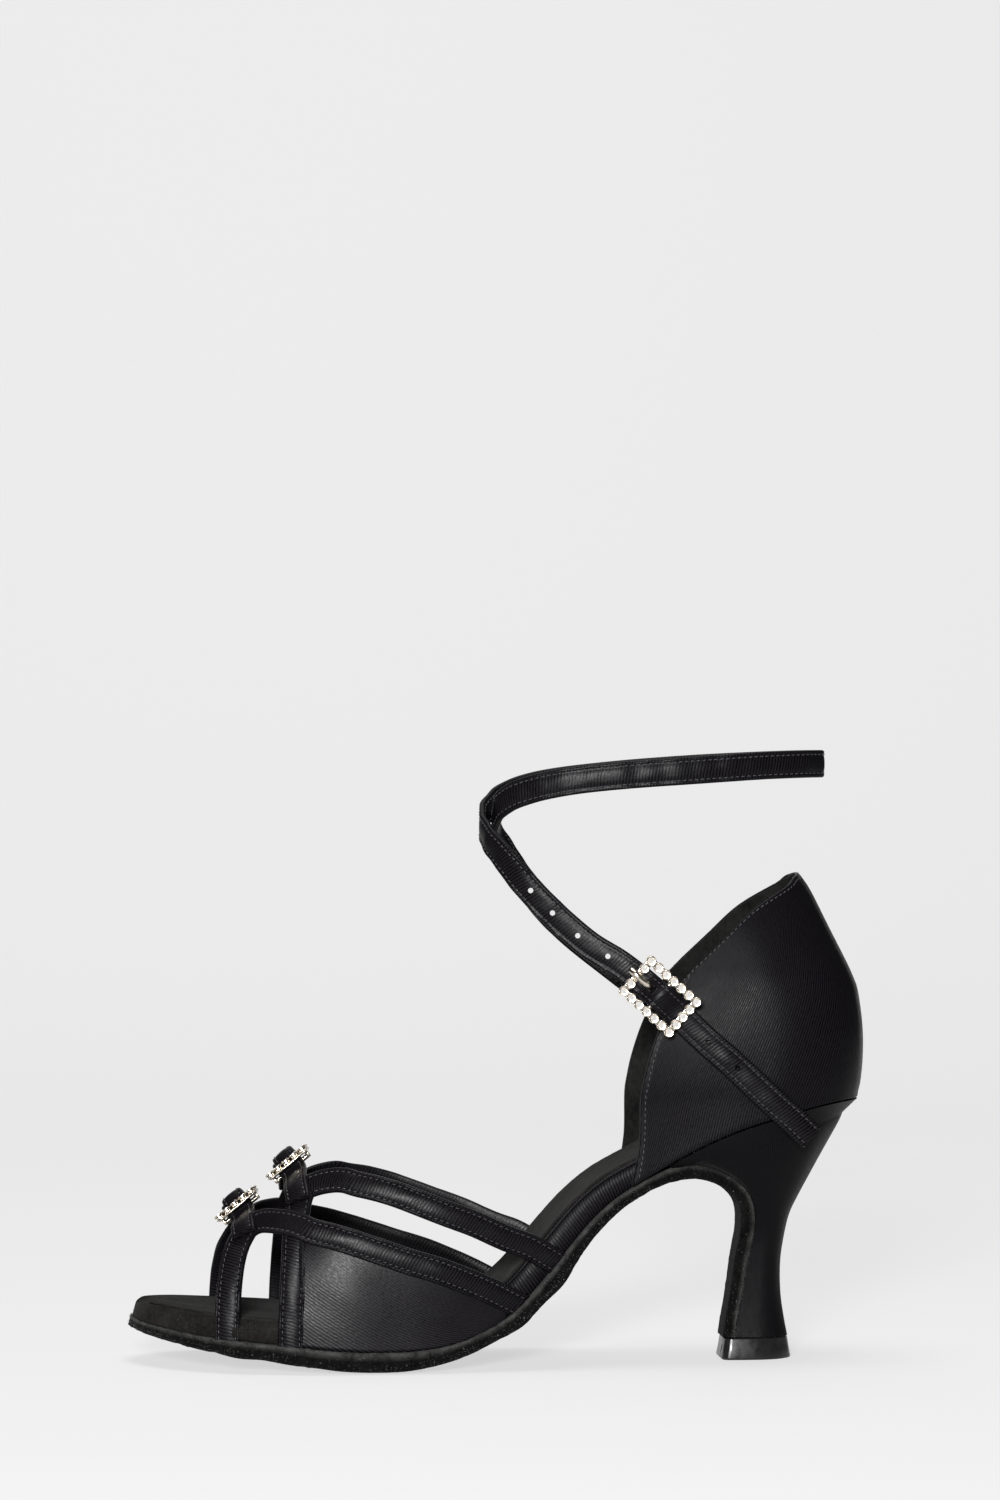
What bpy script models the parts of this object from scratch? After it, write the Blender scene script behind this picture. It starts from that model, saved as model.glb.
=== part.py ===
# A left Latin dance sandal with crossed vamp straps, a closed heel cup and a wrapped ankle strap.
# Metres, +Z up. The toe points to -X and the outer side of the foot to -Y.
# The origin is on the floor, under the middle of the heel.

import math

import bpy
from mathutils import Matrix, Vector

# Driving sizes of the last.
SHOE_LENGTH = 0.2125
BALL_WIDTH = 0.0765
SEAT_HEIGHT = 0.0755
INSTEP_HEIGHT = 0.083
QUARTER_HEIGHT = 0.0657
ANKLE_RISE = 0.0971
ANKLE_WIDTH = 0.451 * BALL_WIDTH
HEEL_STATION = 0.8588

# Thicknesses and widths of the pieces.
SOLE_THICKNESS = 0.0062
SOLE_EDGE_ROUND = 0.0008
TUCK_SWELL = 0.0008
TUCK_SWELL_REACH = 0.0045
INSOLE_THICKNESS = 0.0066
INSOLE_INSET = 0.0027
INSOLE_SHOULDER = 0.0008
DISH_DEPTH = 0.0012
SOCK_THICKNESS = 0.0011
SOCK_INSET = 0.0007
QUARTER_WALL = 0.0020
STRAP_WIDTH = 0.0073
STRAP_THICKNESS = 0.0017
PANEL_THICKNESS = 0.0011
BAND_WIDTH = 0.0080
ANKLE_STRAP_WIDTH = 0.0080
ANKLE_STRAP_THICKNESS = 0.0020
TAB_WIDTH = 0.0058
TAB_THICKNESS = 0.0010
TOP_LIFT_HEIGHT = 0.0062
TOP_LIFT_FLARE = 0.0009

# A buckle: a frame of cups with a stone in each, and a bar across its middle.
STONE_PITCH = 0.0029
STONES_LONG = 7
STONES_SHORT = 5
CUP_RADIUS = 0.00130
CUP_HEIGHT = 0.0016
TABLE_RADIUS = 0.00060
STONE_CROWN = 0.0005
CUP_SIDES = 6
PLATE_WIDTH = 0.0023
PLATE_THICKNESS = 0.0010
BAR_RADIUS = 0.0007
PRONG_RADIUS = 0.0006

# Clearance between two pieces that touch, and the plan's squareness over the toes.
GAP = 0.0003
ARCH_POWER = 2.5
STRAP_INSET = INSOLE_INSET - GAP
SOLE_STEPS = 2
BREAST_STEPS = 2

# Where the heel's lip ends over the sole leather, as a share of SHOE_LENGTH from the origin.
LIP_START = -0.124

# The cup's columns from its front edge to the back, the rows up its wall, and the skirt below the
# seat that the seat then trims. The side panel's columns and rows.
CUP_SHARES = (0.0, 0.09, 0.2, 0.32, 0.44, 0.56, 0.68, 0.79, 0.88, 0.945, 0.982, 1.0)
CUP_LEVELS = 8
CUP_SKIRT = 0.004
PANEL_SKIRT = 0.003
BLOCK_MARGIN = 0.008
BLOCK_DEPTH = 0.014
PANEL_STEPS = 11
PANEL_SHARES = (0.0, 0.3, 0.65, 1.0)

# The ankle strap lies over the anchor tab on the outer side and on the cup on the inner side,
# and it rises over the buckle's bar and the tab round it.
STRAP_STEP = 0.0060
STRAP_STEP_AT_BAR = 0.0016
NEAR_STANDOFF = TAB_THICKNESS + 3 * GAP
FAR_STANDOFF = 2 * GAP
BAR_LOW = 0.0002
BAR_REACH = 0.0034
BAR_RISE = 2 * BAR_RADIUS + BAR_LOW + TAB_THICKNESS + 3 * GAP
TAB_TURN = BAR_RADIUS + GAP + TAB_THICKNESS
PRONG_SLOT = 0.0042
KNOT_STEPS = 10

# The top of the sole from the toe to the waist, with its thickness, half widths and the insole's
# thickness: along as a share of SHOE_LENGTH, top of SEAT_HEIGHT, thick of SOLE_THICKNESS,
# outer and inner of BALL_WIDTH, pad of INSOLE_THICKNESS.
SOLE_COLUMNS = ("along", "top", "thick", "outer", "inner", "pad")
SOLE_ROWS = (
    (0.008, 0.171, 0.39, -0.046, 0.111, 0.67),
    (0.012, 0.168, 0.42, 0.020, 0.176, 0.68),
    (0.021, 0.163, 0.47, 0.092, 0.235, 0.71),
    (0.038, 0.156, 0.52, 0.170, 0.294, 0.76),
    (0.065, 0.146, 0.56, 0.268, 0.359, 0.80),
    (0.106, 0.131, 0.65, 0.366, 0.418, 0.86),
    (0.153, 0.119, 0.73, 0.431, 0.460, 0.89),
    (0.219, 0.103, 0.87, 0.484, 0.492, 0.92),
    (0.289, 0.085, 1.06, 0.510, 0.497, 0.92),
    (0.369, 0.083, 1.06, 0.505, 0.464, 0.92),
    (0.421, 0.099, 0.84, 0.489, 0.412, 0.95),
    (0.464, 0.135, 0.69, 0.460, 0.366, 1.02),
    (0.506, 0.196, 0.63, 0.426, 0.335, 1.05),
    (0.539, 0.275, 0.61, 0.400, 0.318, 1.06),
    (0.567, 0.363, 0.61, 0.382, 0.305, 1.06),
    (0.595, 0.458, 0.61, 0.366, 0.295, 1.05),
    (0.628, 0.562, 0.58, 0.348, 0.288, 1.03),
    (0.661, 0.641, 0.55, 0.332, 0.286, 0.98),
    (0.699, 0.707, 0.55, 0.322, 0.290, 0.91),
)

# The seat on top of the heel, from the waist to the back, in the same shares.
SEAT_COLUMNS = ("along", "top", "outer", "inner", "pad")
SEAT_ROWS = (
    (0.741, 0.776, 0.319, 0.298, 0.82),
    (0.788, 0.844, 0.323, 0.308, 0.76),
    (0.835, 0.898, 0.329, 0.319, 0.73),
    (0.882, 0.939, 0.328, 0.322, 0.70),
    (0.929, 0.976, 0.303, 0.301, 0.70),
    (0.962, 0.993, 0.256, 0.254, 0.70),
    (0.986, 0.999, 0.176, 0.176, 0.70),
    (0.997, 1.000, 0.092, 0.092, 0.70),
    (1.000, 1.000, 0.033, 0.033, 0.70),
)

# Half widths of the heel and of the top lift from their front edge to the back, as shares of the
# section's own depth and half width.
LEVEL_COLUMNS = ("share", "wide")
HEEL_LEVELS = (
    (0.00, 0.78),
    (0.06, 0.90),
    (0.16, 0.97),
    (0.32, 1.00),
    (0.50, 0.97),
    (0.68, 0.86),
    (0.83, 0.68),
    (0.94, 0.42),
    (1.00, 0.12),
)
LIFT_LEVELS = (
    (0.00, 0.84),
    (0.05, 0.95),
    (0.12, 1.00),
    (0.45, 1.00),
    (0.66, 0.90),
    (0.82, 0.70),
    (0.93, 0.42),
    (1.00, 0.14),
)

# The sole leather's way under the heel's lip and down its breast, and the heel behind it:
# front_x and back_x as shares of SHOE_LENGTH from the origin, front_z and back_z of SEAT_HEIGHT,
# thick of SOLE_THICKNESS, leather and heel half widths of BALL_WIDTH.
BREAST_COLUMNS = ("front_x", "front_z", "thick", "leather", "back_x", "back_z", "heel")
BREAST_ROWS = (
    (-0.1318, 0.742, 0.61, 0.301, 0.1242, 0.960, 0.316),
    (-0.1035, 0.762, 0.74, 0.268, 0.1186, 0.919, 0.308),
    (-0.0776, 0.759, 0.77, 0.222, 0.1054, 0.853, 0.292),
    (-0.0485, 0.730, 0.73, 0.178, 0.0904, 0.779, 0.261),
    (-0.0235, 0.680, 0.68, 0.149, 0.0744, 0.697, 0.217),
    (-0.0085, 0.625, 0.66, 0.131, 0.0607, 0.625, 0.174),
    (-0.0028, 0.556, 0.66, 0.118, 0.0489, 0.554, 0.135),
    (-0.0056, 0.469, 0.63, 0.108, 0.0414, 0.464, 0.108),
    (-0.0132, 0.371, 0.60, 0.102, 0.0367, 0.366, 0.098),
    (-0.0198, 0.252, 0.56, 0.099, 0.0372, 0.249, 0.097),
    (-0.0264, 0.154, 0.55, 0.101, 0.0419, 0.154, 0.101),
    (-0.0301, 0.086, 0.55, 0.103, 0.0466, 0.086, 0.106),
)

# The last's ridge above the sole: along of SHOE_LENGTH, ridge of INSTEP_HEIGHT.
RIDGE_COLUMNS = ("along", "ridge")
RIDGE_ROWS = (
    (0.082, 0.224),
    (0.161, 0.410),
    (0.231, 0.571),
    (0.294, 0.725),
    (0.388, 0.908),
    (0.482, 1.000),
    (0.577, 0.916),
    (0.624, 0.831),
)

# The heel cup at each level above the seat: up of QUARTER_HEIGHT, back and front of SHOE_LENGTH
# from the origin, wide as a share of the seat's half width.
QUARTER_COLUMNS = ("up", "back", "wide", "front")
QUARTER_ROWS = (
    (-0.350, 0.1412, 0.985, -0.1774),
    (-0.183, 0.1412, 0.992, -0.1685),
    (0.000, 0.1412, 1.005, -0.1675),
    (0.068, 0.1454, 1.022, -0.1647),
    (0.175, 0.1487, 1.030, -0.1572),
    (0.312, 0.1487, 1.024, -0.1431),
    (0.470, 0.1426, 0.992, -0.1205),
    (0.540, 0.1355, 0.972, -0.1082),
    (0.616, 0.1247, 0.935, -0.0941),
    (0.772, 0.1002, 0.860, -0.0659),
    (0.927, 0.0762, 0.770, -0.0376),
    (1.000, 0.0598, 0.720, -0.0235),
)

# The cup's top edge from its front corner to the peak, in the same shares.
TOPLINE_COLUMNS = ("along", "up")
TOPLINE_ROWS = (
    (-0.1700, 0.210),
    (-0.1082, 0.540),
    (-0.0904, 0.601),
    (-0.0518, 0.718),
    (-0.0104, 0.845),
    (0.0400, 0.948),
    (0.0598, 1.000),
    (0.1400, 1.100),
)

# Middle lines of the vamp's legs on the last: along of SHOE_LENGTH, rise of the ridge's height,
# lift of STRAP_THICKNESS where one leg passes over another. A rise below 0 is cut off at the sole.
LEG_COLUMNS = ("along", "rise", "lift")
FRONT_LEG_A = (
    (0.1355, -0.12, 0.0),
    (0.1357, 0.12, 0.0),
    (0.1366, 0.34, 0.0),
    (0.1398, 0.56, 0.0),
    (0.1450, 0.72, 0.0),
    (0.1530, 0.82, 0.0),
    (0.1660, 0.89, 0.0),
)
REAR_LEG_A = (
    (0.1600, 0.87, 0.0),
    (0.1700, 0.875, 0.1),
    (0.1850, 0.850, 0.5),
    (0.2040, 0.790, 0.9),
    (0.2300, 0.705, 1.0),
    (0.2560, 0.610, 0.8),
    (0.3120, 0.468, 0.5),
    (0.3640, 0.360, 0.5),
    (0.4179, 0.269, 0.5),
    (0.4701, 0.160, 0.4),
    (0.5078, 0.060, 0.2),
    (0.5360, -0.040, 0.1),
)
FRONT_LEG_B = (
    (0.2184, -0.10, 0.0),
    (0.2190, 0.10, 0.0),
    (0.2206, 0.30, 0.0),
    (0.2236, 0.52, 0.0),
    (0.2272, 0.72, 0.0),
    (0.2330, 0.83, 0.0),
    (0.2420, 0.89, 0.0),
)
REAR_LEG_B = (
    (0.2350, 0.880, 0.1),
    (0.2480, 0.872, 0.1),
    (0.2660, 0.845, 0.0),
    (0.2900, 0.795, 0.0),
    (0.3144, 0.725, 0.0),
    (0.3700, 0.590, 0.0),
    (0.4202, 0.477, 0.0),
    (0.4729, 0.359, 0.0),
    (0.5318, 0.200, 0.0),
    (0.5671, 0.050, 0.0),
    (0.5860, -0.050, 0.0),
)

# The toe bands across the ridge: across of the last's half width, lift and thick of
# STRAP_THICKNESS. Both rise over the buckle's bar, and their ends lie on the legs' joins.
BAND_COLUMNS = ("across", "lift", "thick")
BAND_ROWS = (
    (0.690, 1.05, 1.0),
    (0.600, 1.05, 1.0),
    (0.500, 0.75, 1.0),
    (0.400, 0.20, 1.0),
    (0.320, 0.00, 1.0),
    (0.215, 0.00, 1.0),
    (0.175, 0.35, 1.2),
    (0.130, 1.10, 1.9),
    (0.050, 1.45, 2.5),
    (0.000, 1.50, 2.6),
)
BANDS = {"front": {"along": 0.1607, "sweep": 0.006}, "rear": {"along": 0.2300, "sweep": 0.010}}

# The ankle strap where it lies on the cup: along of SHOE_LENGTH from the origin, up of
# QUARTER_HEIGHT above the seat. The free loop: along as before, side of ANKLE_WIDTH, up of
# ANKLE_RISE above the seat. The strap runs from its tail through the buckle, round the front,
# back along the inner side, round the back, forward again and down to the inner side of the cup.
LAID_COLUMNS = ("along", "up")
TAIL_ROWS = (
    (0.0621, -0.149),
    (0.0370, -0.071),
    (0.0094, 0.008),
    (-0.0475, 0.181),
    (-0.0871, 0.294),
    (-0.1430, 0.469),
)
SEWN_ROWS = (
    (-0.1800, 0.560),
    (-0.1430, 0.469),
    (-0.1100, 0.390),
    (-0.0820, 0.325),
)
LOOP_COLUMNS = ("along", "side", "up")
LOOP_ROWS = (
    (-0.1930, -0.760, 0.407),
    (-0.2390, -0.700, 0.471),
    (-0.2885, -0.615, 0.567),
    (-0.3224, -0.530, 0.648),
    (-0.3478, -0.425, 0.718),
    (-0.3661, -0.255, 0.775),
    (-0.3735, -0.050, 0.815),
    (-0.3630, 0.165, 0.860),
    (-0.3370, 0.345, 0.903),
    (-0.2824, 0.440, 0.940),
    (-0.1882, 0.500, 0.966),
    (-0.0847, 0.490, 0.984),
    (0.0000, 0.390, 0.994),
    (0.0590, 0.235, 0.999),
    (0.0870, 0.105, 1.000),
    (0.0935, 0.000, 1.000),
    (0.0870, -0.105, 1.000),
    (0.0590, -0.240, 0.999),
    (0.0000, -0.400, 0.994),
    (-0.0847, -0.500, 0.982),
    (-0.1882, -0.505, 0.966),
    (-0.2635, -0.450, 0.947),
    (-0.3190, -0.320, 0.918),
    (-0.3480, -0.140, 0.880),
    (-0.3545, 0.060, 0.833),
    (-0.3470, 0.250, 0.780),
    (-0.3300, 0.410, 0.718),
    (-0.3082, 0.530, 0.648),
    (-0.2800, 0.625, 0.567),
    (-0.2380, 0.710, 0.480),
)


def table(columns, rows):
    return [dict(zip(columns, row)) for row in rows]


def spline(a, b, c, d, t):
    # A Catmull-Rom value between b and c.
    return 0.5 * (2 * b + (c - a) * t + (2 * a - 5 * b + 4 * c - d) * t**2 + (3 * b - a - 3 * c + d) * t**3)


def refine(rows, steps):
    # The rows with steps - 1 smooth rows between each two.
    found = []
    for i in range(len(rows) - 1):
        around = [rows[max(0, min(len(rows) - 1, i + k))] for k in (-1, 0, 1, 2)]
        for step in range(steps):
            found.append({key: spline(*(row[key] for row in around), step / steps) for key in rows[i]})
    found.append(dict(rows[-1]))
    return found


def lookup(rows, key, value, column):
    # The column's value where key has the given value, on straight lines between the rows.
    for low, high in zip(rows, rows[1:]):
        if value <= high[key]:
            break
    share = (value - low[key]) / (high[key] - low[key])
    return low[column] + (high[column] - low[column]) * max(0.0, min(1.0, share))


def lofted(name, loops, colour):
    # A closed solid through loops that have the same number of points, capped at both ends.
    around = len(loops[0])
    points = [point for loop in loops for point in loop]
    faces = [tuple(range(around)), tuple(reversed(range(len(points) - around, len(points))))]
    for ring in range(len(loops) - 1):
        for i in range(around):
            j = (i + 1) % around
            start = ring * around
            faces.append((start + i, start + around + i, start + around + j, start + j))
    return mesh_object(name, points, faces, colour)


def mesh_object(name, points, faces, colour):
    mesh = bpy.data.meshes.new(name)
    mesh.from_pydata([tuple(point) for point in points], [], faces)
    mesh.update()
    if signed_volume(mesh) < 0:
        mesh.flip_normals()
    mesh.materials.append(colour)
    mesh.shade_smooth()
    mesh.set_sharp_from_angle(angle=math.radians(38))
    thing = bpy.data.objects.new(name, mesh)
    shoe.objects.link(thing)
    return thing


def signed_volume(mesh):
    mesh.calc_loop_triangles()
    corners = [[mesh.vertices[i].co for i in triangle.vertices] for triangle in mesh.loop_triangles]
    return sum(a.dot(b.cross(c)) for a, b, c in corners)


def helper(thing):
    shoe.objects.unlink(thing)
    cutters.objects.link(thing)
    thing.hide_render = True
    thing.display_type = "WIRE"
    return thing


def combined(thing, others, operation, solver="EXACT"):
    # The object's mesh joined with, or cut by, the others, which are used up.
    for other in others:
        boolean = thing.modifiers.new("Combine", "BOOLEAN")
        boolean.operation = operation
        boolean.solver = solver
        boolean.object = other
    return finished(thing, others)


def finished(thing, used=()):
    # The object with its modifiers made part of its mesh.
    bpy.context.view_layer.update()
    evaluated = thing.evaluated_get(bpy.context.evaluated_depsgraph_get())
    mesh = bpy.data.meshes.new_from_object(evaluated)
    thing.modifiers.clear()
    thing.data = mesh
    mesh.name = thing.name
    for other in used:
        bpy.data.objects.remove(other)
    return thing


def material(name, colour, roughness, metallic=0.0):
    made = bpy.data.materials.new(name)
    made.use_nodes = True
    shader = made.node_tree.nodes["Principled BSDF"]
    shader.inputs["Base Color"].default_value = (*colour, 1)
    shader.inputs["Roughness"].default_value = roughness
    shader.inputs["Metallic"].default_value = metallic
    return made


def along_x(along):
    return (along - HEEL_STATION) * SHOE_LENGTH


def ground_rows(steps):
    # The line of the sole's top and the seat, with real sizes and the normal at each row.
    named = [{key: row[key] for key in SEAT_COLUMNS} for row in table(SOLE_COLUMNS, SOLE_ROWS)]
    rows = refine(named + table(SEAT_COLUMNS, SEAT_ROWS), steps)
    for row in rows:
        row["x"] = along_x(row["along"])
        row["z"] = row["top"] * SEAT_HEIGHT
        row["outer"] *= BALL_WIDTH
        row["inner"] *= BALL_WIDTH
        row["pad"] *= INSOLE_THICKNESS
    for i, row in enumerate(rows):
        before, after = rows[max(0, i - 1)], rows[min(len(rows) - 1, i + 1)]
        run = Vector((after["x"] - before["x"], 0, after["z"] - before["z"])).normalized()
        row["nx"], row["nz"] = -run.z, run.x
    return rows


def ground(x, column):
    return lookup(ground_line, "x", x, column)


def above(x, y, height):
    # The point that lies square above the sole's top, or below it where height is negative.
    return Vector((x + ground(x, "nx") * height, y, ground(x, "z") + ground(x, "nz") * height))


def outline_pairs(inset, steps):
    # The sole's outline moved inwards by inset, as pairs of an outer and an inner plan point.
    rows = ground_rows(steps)
    ring = [Vector((row["x"], row["inner"])) for row in rows]
    ring += [Vector((row["x"], -row["outer"])) for row in reversed(rows)]
    moved = []
    for i, point in enumerate(ring):
        before = (point - ring[i - 1]).normalized()
        after = (ring[(i + 1) % len(ring)] - point).normalized()
        run = (before + after).normalized()
        moved.append(point + Vector((run.y, -run.x)) * inset)
    half = len(rows)
    return [(moved[-1 - i], moved[i]) for i in range(half)]


def across(pair, share, height):
    # The point at a share of the way from the pair's outer to its inner point, above the sole.
    plan = pair[0].lerp(pair[1], share)
    return above(plan.x, plan.y, height)


def tuck_swell(x):
    # How far the sole's edge swells where a leg is tucked in at x.
    tucks = [FRONT_LEG_A[1][0], FRONT_LEG_B[1][0], REAR_LEG_A[-2][0], REAR_LEG_B[-2][0]]
    return TUCK_SWELL * sum(math.exp(-(((x - along_x(tuck)) / TUCK_SWELL_REACH) ** 2)) for tuck in tucks)


def breast_rows():
    rows = refine(table(BREAST_COLUMNS, BREAST_ROWS), BREAST_STEPS)
    for row in rows:
        for key in ("front_x", "back_x"):
            row[key] *= SHOE_LENGTH
        for key in ("front_z", "back_z"):
            row[key] *= SEAT_HEIGHT
        for key in ("leather", "heel"):
            row[key] *= BALL_WIDTH
    floor_clearance = TOP_LIFT_HEIGHT + GAP
    for row in rows:
        row["front_z"] = max(row["front_z"], floor_clearance)
        row["back_z"] = max(row["back_z"], floor_clearance)
    return rows


def outsole():
    path = []
    for row in refine(table(SOLE_COLUMNS, SOLE_ROWS), SOLE_STEPS):
        x = along_x(row["along"])
        path.append(
            {
                "x": x,
                "z": row["top"] * SEAT_HEIGHT,
                "thick": row["thick"] * SOLE_THICKNESS,
                "outer": row["outer"] * BALL_WIDTH + tuck_swell(x),
                "inner": row["inner"] * BALL_WIDTH + tuck_swell(x),
            }
        )
    for row in breast_rows():
        path.append(
            {
                "x": row["front_x"],
                "z": row["front_z"],
                "thick": row["thick"] * SOLE_THICKNESS,
                "outer": row["leather"],
                "inner": row["leather"],
            }
        )
    loops = []
    for i, row in enumerate(path):
        before, after = path[max(0, i - 1)], path[min(len(path) - 1, i + 1)]
        run = Vector((after["x"] - before["x"], 0, after["z"] - before["z"])).normalized()
        if row is path[-1]:
            run = Vector((0, 0, -1))
        up = Vector((-run.z, 0, run.x))
        top = Vector((row["x"], 0, row["z"]))
        round_off = SOLE_EDGE_ROUND
        profile = (
            (-row["outer"] + round_off, 0.0),
            (row["inner"] - round_off, 0.0),
            (row["inner"], 0.3),
            (row["inner"] - 0.4 * round_off, 0.68),
            (row["inner"] - 2 * round_off, 1.0),
            (-row["outer"] + 2 * round_off, 1.0),
            (-row["outer"] + 0.4 * round_off, 0.68),
            (-row["outer"], 0.3),
        )
        loop = []
        for side, depth in profile:
            point = top - up * depth * row["thick"] + Vector((0, side, 0))
            point.z = max(point.z, 0.0)
            loop.append(point)
        loops.append(loop)
    return lofted("outsole", loops, suede_sole)


def insole():
    loops = []
    for pair in outline_pairs(INSOLE_INSET, SOLE_STEPS):
        width = (pair[1] - pair[0]).length
        pad = ground(pair[0].x, "pad")
        shoulder = min(0.3, INSOLE_SHOULDER / width)
        dish = DISH_DEPTH * min(1.0, width / (0.5 * BALL_WIDTH))
        profile = (
            (0.0, GAP),
            (0.0, 0.62 * pad),
            (shoulder, pad),
            (0.2 + 0.6 * shoulder, pad - 0.6 * dish),
            (0.5, pad - dish),
            (0.8 - 0.6 * shoulder, pad - 0.6 * dish),
            (1.0 - shoulder, pad),
            (1.0, 0.62 * pad),
            (1.0, GAP),
        )
        loops.append([across(pair, share, height) for share, height in profile])
    return lofted("insole", loops, satin)


def sock():
    loops = []
    for pair in outline_pairs(INSOLE_INSET + INSOLE_SHOULDER + SOCK_INSET, SOLE_STEPS):
        width = (pair[1] - pair[0]).length
        low = ground(pair[0].x, "pad") + GAP
        dish = DISH_DEPTH * min(1.0, width / (0.5 * BALL_WIDTH))
        shares = ((0.0, 0.12), (0.2, 0.6), (0.5, 1.0), (0.8, 0.6), (1.0, 0.12))
        under = [across(pair, share, low - sag * dish) for share, sag in shares]
        over = [across(pair, share, low + SOCK_THICKNESS - sag * dish) for share, sag in reversed(shares)]
        loops.append(under + over)
    return lofted("sock", loops, suede_sock)


def heel_loop(front, back, half, levels):
    # A loop from the front edge to the round back, as wide as levels says at each share.
    outer = []
    inner = []
    for share, wide in levels:
        middle = front.lerp(back, share)
        outer.append(middle + Vector((0, -half * wide, 0)))
        inner.append(middle + Vector((0, half * wide, 0)))
    return outer + list(reversed(inner))


def heel():
    loops = []
    rows = breast_rows()
    for i, row in enumerate(rows):
        before, after = rows[max(0, i - 1)], rows[min(len(rows) - 1, i + 1)]
        run = Vector((after["front_x"] - before["front_x"], 0, after["front_z"] - before["front_z"]))
        up = Vector((-run.z, 0, run.x)).normalized()
        if row is rows[-1]:
            up = Vector((1, 0, 0))
        front = Vector((row["front_x"], 0, row["front_z"])) + up * GAP
        back = Vector((row["back_x"], 0, row["back_z"]))
        if row["front_x"] < LIP_START * SHOE_LENGTH:
            continue
        loops.append(heel_loop(front, back, row["heel"], HEEL_LEVELS))
    front_x = LIP_START * SHOE_LENGTH
    back_x = along_x(1.0)
    seat = []
    for share, _ in HEEL_LEVELS:
        x = front_x + (back_x - front_x) * (share if share < 1 else 0.9985)
        seat.append(x)
    outer = [Vector((x, -ground(x, "outer"), ground(x, "z"))) for x in seat]
    inner = [Vector((x, ground(x, "inner"), ground(x, "z"))) for x in reversed(seat)]
    loops.insert(0, outer + inner)
    return capped_in_strips("heel", loops, satin)


def capped_in_strips(name, loops, colour):
    # As lofted, with its first cap in strips from side to side, so that it follows a curved seat.
    around = len(loops[0])
    points = [point for loop in loops for point in loop]
    faces = [(i, i + 1, around - 2 - i, around - 1 - i) for i in range(around // 2 - 1)]
    faces.append(tuple(reversed(range(len(points) - around, len(points)))))
    for ring in range(len(loops) - 1):
        for i in range(around):
            j = (i + 1) % around
            start = ring * around
            faces.append((start + i, start + around + i, start + around + j, start + j))
    return mesh_object(name, points, faces, colour)


def top_lift():
    row = breast_rows()[-1]
    leather = row["thick"] * SOLE_THICKNESS
    front_x = row["front_x"] - leather
    back_x = row["back_x"]
    half = row["heel"]
    loops = []
    for height, flare in ((0.0, 0.85), (0.0006, 1.0), (TOP_LIFT_HEIGHT, 0.0)):
        spread = TOP_LIFT_FLARE * flare
        front = Vector((front_x + 0.0006 - spread, 0, height))
        back = Vector((back_x + spread, 0, height))
        loops.append(heel_loop(front, back, half + 0.8 * spread, LIFT_LEVELS))
    return lofted("top_lift", loops, plastic)


def cup_level(z, column):
    rows = quarter_rows
    return lookup(rows, "up", (z - SEAT_HEIGHT) / QUARTER_HEIGHT, column)


def cup_x(share, z):
    # Where a line of the cup that starts at a share of its length has come to at height z.
    front = cup_level(z, "front") * SHOE_LENGTH
    back = cup_level(z, "back") * SHOE_LENGTH
    return front + (back - front) * share


def cup_side(x, z, side):
    # The cup's half width at a place in its side view: as far from its back as the same place is
    # on the seat.
    seat_x = along_x(1.0) - (cup_level(z, "back") * SHOE_LENGTH - x)
    return ground(seat_x, "outer" if side < 0 else "inner") * cup_level(z, "wide")


def topline(x):
    return SEAT_HEIGHT + QUARTER_HEIGHT * lookup(topline_rows, "x", x, "up")


def cup_top(share):
    low, high = SEAT_HEIGHT, SEAT_HEIGHT + QUARTER_HEIGHT
    for _ in range(30):
        middle = (low + high) / 2
        if topline(cup_x(share, middle)) > middle:
            low = middle
        else:
            high = middle
    return low


def quarter():
    first, last = QUARTER_ROWS[0][3] * SHOE_LENGTH, along_x(1.0)
    columns = [(share, -1) for share in CUP_SHARES] + [(share, 1) for share in reversed(CUP_SHARES)]
    points = []
    for share, side in columns:
        low = ground(first + (last - first) * share, "z") - CUP_SKIRT
        high = cup_top(share)
        for level in range(CUP_LEVELS + 1):
            z = low + (high - low) * level / CUP_LEVELS
            x = cup_x(share, z)
            points.append(Vector((x, side * cup_side(x, z, side), z)))
    tall = CUP_LEVELS + 1
    faces = []
    for column in range(len(columns) - 1):
        for level in range(CUP_LEVELS):
            start = column * tall + level
            faces.append((start, start + tall, start + tall + 1, start + 1))
    mesh = bpy.data.meshes.new("quarter")
    mesh.from_pydata([tuple(point) for point in points], [], faces)
    mesh.materials.append(satin)
    mesh.shade_smooth()
    thing = bpy.data.objects.new("quarter", mesh)
    shoe.objects.link(thing)
    wall = thing.modifiers.new("Wall", "SOLIDIFY")
    wall.thickness = QUARTER_WALL
    wall.offset = -1
    wall.use_even_offset = True
    finished(thing)
    return combined(thing, [ground_block()], "DIFFERENCE")


def ground_block():
    # All that lies under the upper: the sole's top, the seat and the clearance above them.
    loops = []
    for pair in outline_pairs(-BLOCK_MARGIN, 1):
        corners = ((0, GAP), (1, GAP), (1, -BLOCK_DEPTH), (0, -BLOCK_DEPTH))
        loops.append([across(pair, share, height) for share, height in corners])
    return helper(lofted("ground_block", loops, satin))


def ridge(x):
    return lookup(ridge_rows, "x", x, "ridge") * INSTEP_HEIGHT


def last_half(x, side):
    return ground(x, "outer" if side < 0 else "inner") - STRAP_INSET


def last_point(x, rise, side):
    # A point of the last's side at a share of the ridge's height.
    wide = (1 - min(1.0, max(0.0, rise)) ** ARCH_POWER) ** (1 / ARCH_POWER)
    z = ground(x, "z") + GAP + ridge(x) * rise
    return Vector((x, side * last_half(x, side) * wide, z))


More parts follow.
